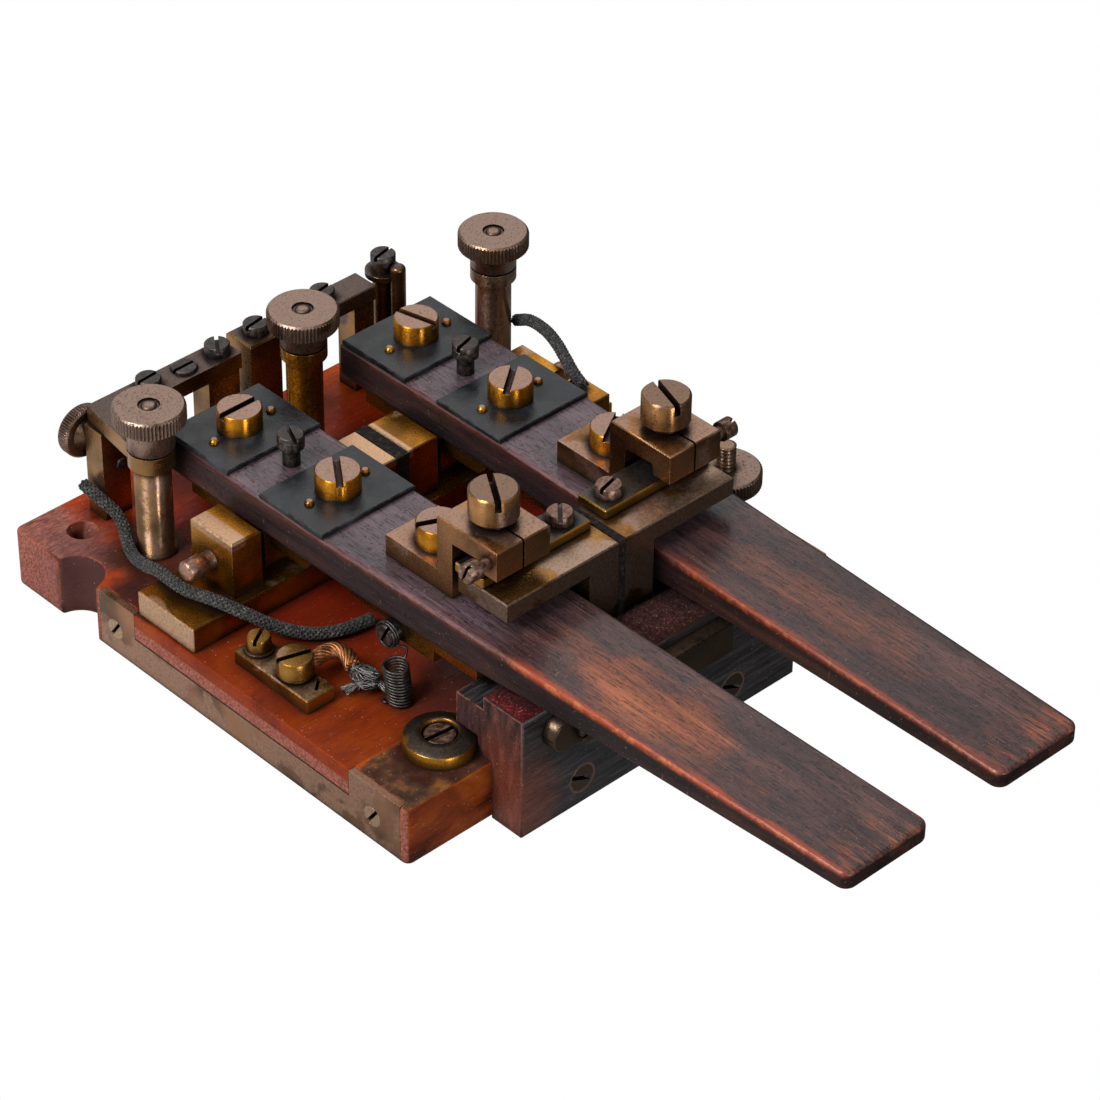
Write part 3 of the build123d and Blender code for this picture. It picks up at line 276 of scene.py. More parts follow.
def dark_steel(name, tone, rust):
    """Blued steel screws with worn edges; those at the front of the key are brown instead."""
    g = Graph(name)
    cloud = g.noise(0.8, 5, 0.6)
    colour = g.ramp(cloud, (0.34, scaled(tone, 0.4)), (0.50, tone), (0.66, scaled(tone, 2.2)))
    browned = g.ramp(cloud, (0.34, (0.075, 0.042, 0.030)), (0.50, (0.21, 0.120, 0.088)),
                     (0.66, (0.42, 0.26, 0.19)))
    colour = g.mix(g.between(g.axis(g.place, "Y"), -50.0, -48.0, 1.0, 0.0), colour, browned)
    pits = g.between(g.noise(2.2, 4, 0.7), 0.55, 0.65, 0.0, rust)
    colour = g.mix(pits, colour, (0.13, 0.060, 0.040))
    wear = g.math("MULTIPLY", g.edges(0.3, 4.0), g.between(g.noise(1.2, 4), 0.42, 0.58))
    colour = g.mix(wear, colour, (0.34, 0.29, 0.25))
    # Painted shade: corners and recesses are darkened towards near black by ambient occlusion.
    colour = g.mix(g.math("MULTIPLY", g.crevice(1.8, 0.42, 0.93), 0.9), colour, (0.010, 0.008, 0.007))
    return g.finish(colour, g.between(cloud, 0.35, 0.65, 0.30, 0.50), 0.85, g.noise(3.0, 4), 0.03, 0.2)


def ebonite(name):
    """Satin black ebonite with faint dust, scuffs and worn brown edges."""
    g = Graph(name)
    cloud = g.noise(0.13, 4, 0.55)
    colour = g.ramp(cloud, (0.36, (0.004, 0.005, 0.006)), (0.52, (0.011, 0.013, 0.016)),
                    (0.68, (0.030, 0.034, 0.040)))
    scuffs = g.between(g.noise(1.0, 3, 0.6, g.stretch(0.5, 6.0, 0.5), 0.4), 0.62, 0.72, 0.0, 0.35)
    colour = g.mix(scuffs, colour, (0.08, 0.08, 0.09))
    dust = g.between(g.noise(4.2, 3, 0.7), 0.63, 0.68, 0.0, 0.5)
    colour = g.mix(dust, colour, (0.17, 0.13, 0.11))
    wear = g.math("MULTIPLY", g.edges(0.35, 4.0), g.between(g.noise(0.5, 4), 0.45, 0.60))
    colour = g.mix(g.math("MULTIPLY", wear, 0.8), colour, (0.21, 0.17, 0.15))
    return g.finish(colour, g.between(cloud, 0.35, 0.65, 0.24, 0.40), 0.0, g.noise(1.6, 5), 0.05, 0.2,
                    specular=0.34)


def insulating_sheet(name):
    """Brown-black sheet between brass pieces, mottled lighter in places."""
    g = Graph(name)
    colour = g.ramp(g.noise(1.2, 5, 0.65), (0.36, (0.005, 0.004, 0.004)), (0.52, (0.014, 0.011, 0.010)),
                    (0.68, (0.050, 0.038, 0.030)))
    return g.finish(colour, 0.60, 0.0, g.noise(2.0, 4), 0.05, 0.15, specular=0.12)


def rosewood(name, edge_x, edge_drift, rubbing):
    """Dark rosewood with a painted mauve sheen behind the bridge, where its surface differs from the
    paddle's, and a rubbed red zone on the paddle.
    Its side faces are painted darker, as shade. Its left edge, at edge_x beside the bridge and drifting
    along the paddle, is worn orange."""
    g = Graph(name)
    figure = g.noise(1.0, 5, 0.6, g.stretch(0.13, 0.018, 0.13), 0.5)
    grain = g.noise(1.0, 6, 0.65, g.stretch(1.7, 0.045, 1.7), 0.3)
    tone = g.math("ADD", g.math("MULTIPLY", figure, 0.5), g.math("MULTIPLY", grain, 0.5))
    along = g.axis(g.place, "Y")
    paddle = g.between(along, -72.0, -56.0, 1.0, 0.0)
    colour = rosewood_tops(g, tone, along, paddle, edge_x, rubbing)
    pores = g.between(g.noise(1.0, 3, 0.6, g.stretch(3.6, 0.24, 3.6)), 0.575, 0.615, 0.0, 0.75)
    colour = g.mix(pores, colour, (0.005, 0.003, 0.003))
    nicks = g.between(g.noise(0.9, 5, 0.75), 0.605, 0.635, 0.0, 0.9)
    colour = g.mix(g.math("MULTIPLY", nicks, g.between(paddle, 0.0, 1.0, 1.0, 0.3)), colour,
                   (0.006, 0.004, 0.005))
    walls = g.between(g.axis(g.normal, "Z"), 0.05, 0.55, 1.0, 0.0)
    # Painted shade: the side faces of the lever get a darker copy of the wood.
    shaded_wall_tone = g.ramp(figure, (0.38, (0.008, 0.005, 0.005)), (0.52, (0.019, 0.010, 0.009)),
                       (0.66, (0.055, 0.020, 0.012)))
    colour = g.mix(g.math("MULTIPLY", walls, 0.9), colour, shaded_wall_tone)
    colour = worn_left_edge(g, colour, along, edge_x, edge_drift, rubbing)
    scratches = g.between(g.noise(1.0, 2, 0.5, g.stretch(0.35, 2.4, 0.35), 1.4), 0.71, 0.735, 0.0, 0.6)
    colour = g.mix(scratches, colour, (0.34, 0.15, 0.08))
    dust = g.between(g.noise(2.6, 2, 0.5), 0.735, 0.76, 0.0, 0.7)
    colour = g.mix(dust, colour, (0.60, 0.52, 0.48))
    # Painted shade: corners and hollows are darkened towards near black by ambient occlusion.
    colour = g.mix(g.math("MULTIPLY", g.crevice(3.0), 0.8), colour, (0.006, 0.004, 0.004))
    relief = g.math("SUBTRACT", grain, g.math("MULTIPLY", g.math("MAXIMUM", pores, nicks), 0.9))
    coat = g.between(walls, 0.0, 1.0, 0.25, 0.04)
    specular = g.between(walls, 0.0, 1.0, 0.45, 0.22)
    return g.finish(colour, g.between(grain, 0.35, 0.65, 0.32, 0.50), 0.0, relief, 0.10, 0.0,
                    coat=coat, specular=specular)


def rosewood_tops(g, tone, along, paddle, edge_x, rubbing):
    """The colour before wear: a painted mauve sheen behind the bridge, dark on the paddle, rubbed red in
    its middle.
    """
    # Painted sheen, partly: behind the bridge the tops get a pale mauve tone in place of a soft reflection,
    # where their surface differs from the paddle's.
    mauve_sheen = g.ramp(tone, (0.36, (0.040, 0.024, 0.031)), (0.50, (0.094, 0.058, 0.072)),
                  (0.64, (0.150, 0.098, 0.115)))
    dark = g.ramp(tone, (0.37, (0.013, 0.006, 0.007)), (0.50, (0.052, 0.022, 0.021)),
                  (0.63, (0.120, 0.052, 0.044)))
    colour = g.mix(paddle, mauve_sheen, dark)
    rubbed_tone = g.ramp(tone, (0.37, (0.060, 0.014, 0.006)), (0.50, (0.215, 0.050, 0.017)),
                         (0.63, (0.390, 0.112, 0.040)))
    zone = g.near((edge_x + 12.0, -104.0, 44.0), 3.0, 13.0, (1.0, 0.34, 0.2), 9.0)
    colour = g.mix(g.math("MULTIPLY", zone, rubbing), colour, rubbed_tone)
    tip = g.math("MULTIPLY", g.between(along, LEVER_TIP_Y + 1.7, LEVER_TIP_Y + 16.2, 1.0, 0.0),
                 g.between(g.noise(1.0, 5, 0.65, g.stretch(0.5, 0.12, 0.5)), 0.46, 0.60))
    return g.mix(g.math("MULTIPLY", tip, 0.75), colour, rubbed_tone)


def worn_left_edge(g, colour, along, edge_x, edge_drift, rubbing):
    """A frayed orange rim and brighter spots along the upper left edge of a lever."""
    run = g.math("SUBTRACT", LEVER_NARROWS_Y, along)
    inward = g.math("SUBTRACT", g.math("SUBTRACT", g.axis(g.place, "X"), edge_x),
                    g.math("MULTIPLY", run, edge_drift))
    fray = g.noise(1.0, 5, 0.6, g.stretch(0.3, 0.05, 0.3))
    wobble = g.math("MULTIPLY", g.math("SUBTRACT", fray, 0.5), 6.0)
    reach = g.math("MULTIPLY", g.between(g.axis(g.place, "Z"), *LEVER_WEAR_Z),
                   g.between(along, -78.0, -68.0, 0.35 + 0.65 * rubbing, 0.15))
    rim = g.math("MULTIPLY", g.between(g.math("ADD", inward, wobble), 0.4, 2.2, 1.0, 0.0), reach)
    colour = g.mix(g.math("MULTIPLY", rim, 0.85), colour, (0.36, 0.052, 0.011))
    spots = g.math("MULTIPLY", g.between(inward, 0.1, 0.8, 1.0, 0.0),
                   g.between(g.noise(0.35, 5, 0.65), 0.50, 0.60))
    bright = g.math("MULTIPLY", spots, reach)
    return g.mix(g.math("MULTIPLY", bright, 0.7), colour, (0.50, 0.135, 0.040))


def mahogany(name):
    """The varnished base: vivid orange-red on top, painted darker on its front and rear and pale pink on
    its sides as shade and sheen, with painted shade under the levers, in its notch and in corners, and dark
    by the fittings.
    """
    g = Graph(name)
    streaks = g.noise(1.0, 6, 0.65, g.stretch(0.06, 0.9, 0.9), 0.3)
    figure = g.noise(1.0, 5, 0.6, g.stretch(0.045, 0.07, 0.07), 0.5)
    tone = g.math("ADD", g.math("MULTIPLY", figure, 0.87), g.math("MULTIPLY", streaks, 0.13))
    along = g.axis(g.place, "Y")
    between_ears = g.math("MULTIPLY", g.between(along, FRONT_EAR_Y - 0.2, FRONT_EAR_Y + 0.4),
                          g.between(along, REAR_EAR_Y - 0.3, REAR_EAR_Y + 0.3, 1.0, 0.0))
    brow = g.math("MULTIPLY", between_ears, g.between(g.axis(g.place, "Z"), 12.3, 12.8))
    facing_side = g.between(g.math("ABSOLUTE", g.axis(g.normal, "X")), 0.5, 0.8)
    facing_side = g.math("MULTIPLY", facing_side, g.math("SUBTRACT", 1.0, brow))
    colour = mahogany_faces(g, tone, between_ears, brow, facing_side)
    colour = base_stains_and_shade(g, colour)
    # Painted shade: the faces inside the notch are darkened.
    notch = g.near((-BASE_SIDE, NOTCH_Y, 8.0), 6.8, 8.5, (1.0, 1.0, 0.3), 1.0)
    notch = g.math("MULTIPLY", notch, g.between(g.upward(), 0.2, 0.8, 0.9, 0.0))
    colour = g.mix(notch, colour, (0.070, 0.030, 0.028))
    pores = g.between(g.noise(1.0, 3, 0.6, g.stretch(0.25, 3.4, 3.4)), 0.60, 0.65, 0.0, 0.35)
    colour = g.mix(pores, colour, (0.060, 0.012, 0.006))
    dirt_and_shade = g.between(g.noise(2.2, 4, 0.7), 0.61, 0.68, 0.0, 0.8)
    colour = g.mix(g.math("MULTIPLY", dirt_and_shade, g.between(g.noise(0.06, 3), 0.42, 0.56)), colour,
                   (0.030, 0.016, 0.012))
    wear = g.math("MULTIPLY", g.edges(0.8, 4.0), g.between(g.noise(0.3, 4), 0.42, 0.56))
    wear = g.math("MULTIPLY", wear, g.between(between_ears, 0.0, 1.0, 0.85, 0.15))
    colour = g.mix(wear, colour, (0.50, 0.125, 0.045))
    dust = g.between(g.noise(2.6, 2, 0.5), 0.725, 0.75, 0.0, 0.7)
    colour = g.mix(dust, colour, (0.75, 0.62, 0.55))
    # Painted shade: corners and spots under overhangs are darkened by ambient occlusion.
    colour = g.mix(g.math("MULTIPLY", g.crevice(4.0), 0.8), colour, (0.018, 0.007, 0.005))
    roughness = g.mix(facing_side, g.between(streaks, 0.35, 0.65, 0.20, 0.36), (0.6, 0.6, 0.6))
    relief = g.math("SUBTRACT", g.noise(0.5, 6, 0.6), g.math("MULTIPLY", pores, 0.5))
    return g.finish(colour, roughness, 0.0, relief, 0.08, 0.4, specular=0.05)


def mahogany_faces(g, tone, between_ears, brow, facing_side):
    """The wood of each face: a vivid top, a front and rear painted darker as shade, and sides painted pale
    pink as sheen.
    The side above the strip's recess (the brow) is darkened, and so is what lies behind the strip."""
    vivid = g.ramp(tone, (0.34, (0.12, 0.008, 0.001)), (0.50, (0.40, 0.042, 0.001)),
                   (0.66, (0.58, 0.100, 0.003)))
    speckled = g.noise(1.0, 6, 0.7, g.stretch(0.5, 1.6, 1.6))
    pale_pink = g.ramp(speckled, (0.34, (0.10, 0.028, 0.020)), (0.50, (0.25, 0.080, 0.056)),
                    (0.66, (0.40, 0.150, 0.110)))
    # Painted shade: the front and rear faces get a darker copy of the top's wood.
    shaded_fronts = g.ramp(tone, (0.34, (0.050, 0.009, 0.003)), (0.50, (0.19, 0.033, 0.006)),
                    (0.66, (0.34, 0.080, 0.013)))
    colour = g.mix(g.math("MAXIMUM", g.upward(), brow), shaded_fronts, vivid)
    colour = g.mix(g.math("MULTIPLY", brow, 0.7), colour, (0.11, 0.018, 0.006))
    # Painted sheen: the side faces get the pale pink tone in place of the light from the left reflected in
    # their varnish.
    colour = g.mix(facing_side, colour, pale_pink)
    behind_strip = g.between(g.axis(g.place, "Z"), STRIP_LOW_TOP, STRIP_LOW_TOP + 0.5, 1.0, 0.0)
    colour = g.mix(g.math("MULTIPLY", between_ears, behind_strip), colour, (0.030, 0.014, 0.012))
    # The rear left corner of the top is given the same pale pink.
    corner = g.near((-BASE_SIDE, 61.0, BASE_TOP), 11.0, 18.0, (1.0, 0.70, 0.5), 7.0)
    return g.mix(g.math("MULTIPLY", corner, g.upward()), colour, pale_pink)


def base_stains_and_shade(g, colour):
    """Old stains on the base: mauve at the left rear, and on each side dark ones by the rest block, round
    the corner cup, round the post and beside the strip's rear ear.
    Under the levers the base is darkened to red-brown, as painted shade."""
    colour = stain_and_shade_patch(g, colour, (-60.0, 50.0), 3.0, 13.0, (1.0, 0.55), 6.0, 0.55, (0.13, 0.055, 0.055))
    # Painted shade: the base under the levers is darkened to a deep red-brown.
    colour = stain_and_shade_patch(g, colour, (0.0, 12.0), 42.0, 56.0, (1.0, 0.80), 8.0, 0.82, (0.14, 0.010, 0.004))
    soot = g.ramp(g.noise(0.16, 5, 0.6), (0.38, (0.016, 0.012, 0.010)), (0.52, (0.046, 0.030, 0.020)),
                  (0.66, (0.20, 0.085, 0.024)))
    for hand in (-1, 1):
        colour = stain_and_shade_patch(g, colour, (hand * 30.0, -46.0), 5.0, 16.0, (0.8, 1.0), 5.0, 0.75,
                       (0.055, 0.016, 0.013))
        colour = stain_and_shade_patch(g, colour, (hand * 56.0, -64.0), 13.0, 15.5, (0.72, 1.0), 3.0, 0.93, soot, True)
        colour = stain_and_shade_patch(g, colour, (hand * 50.0, 36.0), 7.0, 14.0, (1.0, 0.8), 5.0, 0.85,
                       (0.035, 0.018, 0.014))
        colour = stain_and_shade_patch(g, colour, (hand * 64.0, 29.0), 4.0, 9.0, (1.0, 0.7), 4.0, 0.85,
                       (0.030, 0.016, 0.014), True)
    return colour


def stain_and_shade_patch(g, colour, place, inner, outer, squeeze, fray, strength, tone, tops_only=False):
    """The colour with a frayed patch of a tone added round a place on top of the base, for the stains and
    for the painted shade under the levers.
    """
    patch = g.near((*place, BASE_TOP), inner, outer, (*squeeze, 0.4), fray)
    if tops_only:
        patch = g.math("MULTIPLY", patch, g.upward())
    return g.mix(g.math("MULTIPLY", patch, strength), colour, tone)


def stained_block(name):
    """The dark rest block: a nearly black front and lighter purple-brown ends, painted as shaded and lit
    faces, and orange worn corners.
    """
    g = Graph(name)
    streaks = g.noise(1.0, 6, 0.65, g.stretch(0.07, 1.2, 1.0), 0.3)
    front = g.ramp(streaks, (0.36, (0.009, 0.009, 0.010)), (0.52, (0.030, 0.027, 0.028)),
                   (0.68, (0.070, 0.056, 0.055)))
    ends = g.ramp(g.noise(1.0, 6, 0.65, g.stretch(0.5, 0.5, 0.12)), (0.36, (0.018, 0.009, 0.010)),
                  (0.52, (0.050, 0.020, 0.020)), (0.68, (0.13, 0.045, 0.035)))
    facing_side = g.between(g.math("ABSOLUTE", g.axis(g.normal, "X")), 0.6, 0.9)
    # Painted light and shade: the end faces get a lighter purple-brown copy of the wood, the front a nearly
    # black one.
    colour = g.mix(facing_side, front, ends)
    blush = g.near((-41.6, -74.0, 8.0), 4.0, 15.0, (1.0, 1.0, 0.6), 5.0)
    colour = g.mix(g.math("MULTIPLY", blush, 0.45), colour, (0.24, 0.050, 0.018))
    pores = g.between(g.noise(1.0, 3, 0.6, g.stretch(0.25, 3.2, 3.2)), 0.585, 0.64, 0.0, 0.7)
    colour = g.mix(pores, colour, (0.007, 0.005, 0.005))
    wear = g.math("MULTIPLY", g.edges(0.6, 4.0), g.between(g.noise(0.3, 4), 0.42, 0.54))
    colour = g.mix(g.math("MULTIPLY", wear, 0.85), colour, (0.42, 0.14, 0.075))
    for screw in REST_SCREWS:
        colour = g.mix(g.ring(screw, 3.6, 0.45, (1.0, 0.0, 1.0)), colour, (0.10, 0.060, 0.045))
    dust = g.between(g.noise(2.6, 2, 0.5), 0.715, 0.74, 0.0, 0.7)
    colour = g.mix(dust, colour, (0.55, 0.48, 0.44))
    # Painted shade: corners and recesses are darkened by ambient occlusion.
    colour = g.mix(g.math("MULTIPLY", g.crevice(3.0), 0.7), colour, (0.008, 0.006, 0.006))
    return g.finish(colour, g.between(streaks, 0.35, 0.65, 0.34, 0.55), 0.0,
                    g.math("SUBTRACT", streaks, pores), 0.08, 0.4, specular=0.28)


def felt(name):
    """Crimson felt at the left, dusty brown-red with bright specks elsewhere."""
    g = Graph(name)
    fibre = g.noise(3.0, 6, 0.75, None, 1.5)
    fresh = g.ramp(fibre, (0.36, (0.030, 0.001, 0.002)), (0.52, (0.13, 0.002, 0.006)),
                   (0.68, (0.38, 0.012, 0.020)))
    dusty = g.ramp(fibre, (0.36, (0.020, 0.004, 0.004)), (0.52, (0.080, 0.016, 0.013)),
                   (0.68, (0.28, 0.115, 0.090)))
    colour = g.mix(g.between(g.axis(g.place, "X"), -26.0, -14.0), fresh, dusty)
    lint = g.between(g.noise(2.3, 3, 0.75), 0.60, 0.65, 0.0, 0.8)
    colour = g.mix(lint, colour, (0.50, 0.34, 0.28))
    # Painted shade: corners and spots under overhangs are darkened by ambient occlusion.
    colour = g.mix(g.math("MULTIPLY", g.crevice(4.0), 0.7), colour, (0.012, 0.003, 0.003))
    return g.finish(colour, 0.95, 0.0, fibre, 0.5, 0.0, sheen=0.05, specular=0.1)


def cotton_braid(name):
    """The dark woven cover of the cables, with pale flecks."""
    g = Graph(name)
    cloud = g.noise(0.6, 5, 0.7)
    colour = g.ramp(cloud, (0.36, (0.010, 0.010, 0.010)), (0.52, (0.026, 0.026, 0.024)),
                    (0.68, (0.060, 0.058, 0.053)))
    flecks = g.between(g.noise(1.9, 3, 0.75), 0.54, 0.61, 0.0, 0.7)
    colour = g.mix(flecks, colour, (0.21, 0.198, 0.180))
    # Painted shade: the hollows between strands are darkened by ambient occlusion.
    colour = g.mix(g.math("MULTIPLY", g.crevice(0.7), 0.75), colour, (0.006, 0.006, 0.006))
    return g.finish(colour, 0.80, 0.0, g.noise(5.0, 4), 0.14, 0.0, sheen=0.1, specular=0.3)


def wire(name, tone, roughness):
    """Fine drawn wire."""
    g = Graph(name)
    cloud = g.noise(1.2, 5, 0.6)
    colour = g.ramp(cloud, (0.32, scaled(tone, 0.45)), (0.52, tone), (0.72, scaled(tone, 1.7)))
    # Painted shade: the wire is darkened where other turns shut it in, by ambient occlusion.
    colour = g.mix(g.math("MULTIPLY", g.crevice(0.8), 0.6), colour, (0.012, 0.010, 0.009))
    return g.finish(colour, g.between(cloud, 0.3, 0.7, roughness, roughness + 0.2), 0.9,
                    g.noise(6.0, 3), 0.02, 0.0)


def copper(name):
    """Copper with a warm, uneven patina."""
    g = Graph(name)
    cloud = g.noise(0.5, 5, 0.65)
    colour = g.ramp(cloud, (0.32, (0.15, 0.048, 0.018)), (0.52, (0.40, 0.150, 0.055)),
                    (0.72, (0.58, 0.27, 0.13)))
    spots = g.between(g.noise(2.4, 4, 0.7), 0.58, 0.68, 0.0, 0.6)
    colour = g.mix(spots, colour, (0.080, 0.040, 0.028))
    # Painted shade: the hollows between strands are darkened by ambient occlusion.
    colour = g.mix(g.math("MULTIPLY", g.crevice(2.0), 0.75), colour, (0.020, 0.010, 0.008))
    return g.finish(colour, g.between(cloud, 0.3, 0.7, 0.30, 0.50), 0.85, g.noise(2.2, 5), 0.05, 0.25)


# ---- Mesh helpers -----------------------------------------------------------------------------

def smooth_path(points, per_span=12):
    """Points along a Catmull-Rom curve through the given ones."""
    knots = [Vector(p) for p in points]
    knots = [2 * knots[0] - knots[1]] + knots + [2 * knots[-1] - knots[-2]]
    path = []
    for i in range(1, len(knots) - 2):
        before, start, end, after = knots[i - 1:i + 3]
        for step in range(per_span):
            t = step / per_span
            path.append(0.5 * (2 * start + (end - before) * t
                               + (2 * before - 5 * start + 4 * end - after) * t * t
                               + (3 * start - before - 3 * end + after) * t ** 3))
    return path + [knots[-2]]


def transported_frames(path):
    """Two directions square to the path at each of its points, with no twist between them."""
    tangents = []
    for i in range(len(path)):
        ahead = path[min(i + 1, len(path) - 1)]
        behind = path[max(i - 1, 0)]
        tangents.append((ahead - behind).normalized())
    side = tangents[0].orthogonal().normalized()
    frames = []
    for tangent in tangents:
        side = (side - side.dot(tangent) * tangent).normalized()
        frames.append((side, tangent.cross(side)))
    return frames


class Builder:
    """Collects swept tubes into one mesh object."""

    def __init__(self):
        self.verts = []
        self.faces = []

    def tube(self, path, radius, sides):
        """A capped tube along a path; radius is a number or a function of the share of the length."""
        frames = transported_frames(path)
        first = len(self.verts)
        for i, (point, (side, lift)) in enumerate(zip(path, frames)):
            share = i / (len(path) - 1)
            reach = radius(share) if callable(radius) else radius
            for k in range(sides):
                turn = 2 * math.pi * k / sides
                self.verts.append(point + reach * (math.cos(turn) * side + math.sin(turn) * lift))
        for i in range(len(path) - 1):
            for k in range(sides):
                a = first + i * sides + k
                b = first + i * sides + (k + 1) % sides
                self.faces.append((a, b, b + sides, a + sides))
        last = first + (len(path) - 1) * sides
        self.faces.append(tuple(first + k for k in reversed(range(sides))))
        self.faces.append(tuple(last + k for k in range(sides)))
        return self

    def object(self, name, material):
        mesh = bpy.data.meshes.new(name)
        mesh.from_pydata([v * MM for v in self.verts], [], self.faces)
        mesh.validate()
        mesh.polygons.foreach_set("use_smooth", [True] * len(mesh.polygons))
        mesh.materials.append(material)
        piece = bpy.data.objects.new(name, mesh)
        bpy.context.scene.collection.objects.link(piece)
        return piece


def hand_over(piece, body, slot, *replaced):
    """Puts a new piece on its body, in place of the CAD nodes it stands for."""
    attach(piece, body)
    if replaced:
        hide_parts(*replaced)


# ---- Pieces made here -------------------------------------------------------------------------

LEFT_CABLE = ((-51.4, 61.0, 25.6), (-51.3, 58.2, 25.0), (-50.4, 54.4, 23.3), (-49.6, 51.0, 21.4),
              (-50.4, 47.4, 19.6), (-52.6, 43.6, 18.5), (-54.9, 38.0, 18.8), (-56.9, 31.4, 21.2),
              (-58.6, 24.4, 24.4), (-59.2, 14.8, 25.2), (-56.7, 7.0, 25.1), (-53.2, 0.3, 23.3),
              (-47.8, -5.2, 19.5), (-42.5, -10.5, 18.1), (-36.5, -14.0, 18.1), (-29.0, -15.4, 18.1))
RIGHT_CABLE = ((63.0, 35.6, 32.0), (61.3, 28.9, 36.0), (58.8, 21.0, 38.4), (55.7, 13.9, 39.8),
               (52.1, 6.7, 40.3), (49.4, 0.8, 40.1), (47.8, -3.9, 39.9))


def braided_cable(name, points, material):
    """A cable in a woven cover: two families of strands that cross over and under each other."""
    path = smooth_path(points, 40)
    frames = transported_frames(path)
    core_radius = 1.05
    strand_radius = 0.36
    strands = 6
    pitch = 7.5
    lengths = [0.0]
    for a, b in zip(path, path[1:]):
        lengths.append(lengths[-1] + (b - a).length)
    built = Builder().tube(path, core_radius, 14)
    for family in (1, -1):
        for strand in range(strands):
            line = []
            for point, (side, lift), run in zip(path, frames, lengths):
                turn = family * 2 * math.pi * run / pitch + 2 * math.pi * strand / strands
                weave = family * 0.13 * math.sin(2 * math.pi * run * 2 * strands / pitch)
                reach = core_radius + 0.06 + weave
                line.append(point + reach * (math.cos(turn) * side + math.sin(turn) * lift))
            built.tube(line, strand_radius, 5)
    return built.object(name, material)


def coiled_lead(name, hand, material):
    """The close-wound lead from the base up to the lever, with loops round its screw."""
    coil = coil_path(hand)
    loops = loop_path(hand)
    rise = smooth_path([coil[-1], coil[-1] + Vector((-hand * 1.4, 1.2, 1.6)), loops[0]], 8)
    coil_x, coil_y = hand * COIL_PLACE[0], COIL_PLACE[1]
    bottom = COIL_HEIGHTS[0]
    foot = smooth_path([Vector((coil_x + hand * 2.4, coil_y + 3.4, bottom - 0.1)),
                        Vector((coil_x + hand * 2.7, coil_y + 1.5, bottom - 0.05)), coil[0]], 8)
    built = Builder().tube(foot[:-1] + coil + rise[1:-1] + loops, 0.30, 7)
    return built.object(name, material)


def coil_path(hand):
    """The coil itself, which leans a little towards its screw as it rises."""
    coil_x, coil_y = hand * COIL_PLACE[0], COIL_PLACE[1]
    bottom, top = COIL_HEIGHTS
    radius = 2.8
    turns = 12
    steps = 22
    path = []
    for i in range(turns * steps + 1):
        turn = hand * 2 * math.pi * i / steps
        rise = i / (turns * steps)
        path.append(Vector((coil_x - hand * 0.2 * rise + radius * math.cos(turn),
                            coil_y + 1.7 * rise + radius * math.sin(turn),
                            bottom + (top - bottom) * rise)))
    return path


def loop_path(hand):
    """The last loops, wound about the screw in the lever's contact bar."""
    screw_x, screw_y, screw_z = hand * LEAD_SCREW[0], LEAD_SCREW[1], LEAD_SCREW[2]
    radius = 3.05
    steps = 70
    path = []
    for i in range(steps + 1):
        turn = -0.62 * math.pi - 4.6 * math.pi * i / steps
        path.append(Vector((screw_x + hand * 1.5 * i / steps, screw_y + radius * math.cos(turn),
                            screw_z + radius * math.sin(turn))))
    return path


def copper_lug(material):
    """The hooked end of the left conductor: copper strands twisted into a thick bight."""
    spine = smooth_path([(-55.6, -18.6, 20.9), (-53.4, -21.2, 21.2), (-50.6, -20.9, 21.3),
                         (-48.2, -20.6, 21.4), (-46.0, -21.2, 21.4), (-44.7, -23.1, 21.2),
                         (-44.8, -25.6, 20.9), (-45.6, -27.8, 20.4)], 10)
    frames = transported_frames(spine)
    built = Builder().tube(spine, lambda share: 0.75 + 0.75 * min(1.0, share * 3.0), 12)
    strands = 11
    for strand in range(strands):
        line = []
        for i, (point, (side, lift)) in enumerate(zip(spine, frames)):
            share = i / (len(spine) - 1)
            turn = 2 * math.pi * (strand / strands + 1.1 * share)
            reach = 0.75 + 0.80 * min(1.0, share * 3.0)
            line.append(point + reach * (math.cos(turn) * side + math.sin(turn) * lift))
        built.tube(line, 0.46, 6)
    for level in (20.15, 20.6):
        ring = [Vector((-56.3 + 3.5 * math.cos(t), -20.5 + 3.5 * math.sin(t), level))
                for t in (2 * math.pi * i / 36 for i in range(37))]
        built.tube(ring, 0.34, 8)
    return built.object("copper_lug", material)


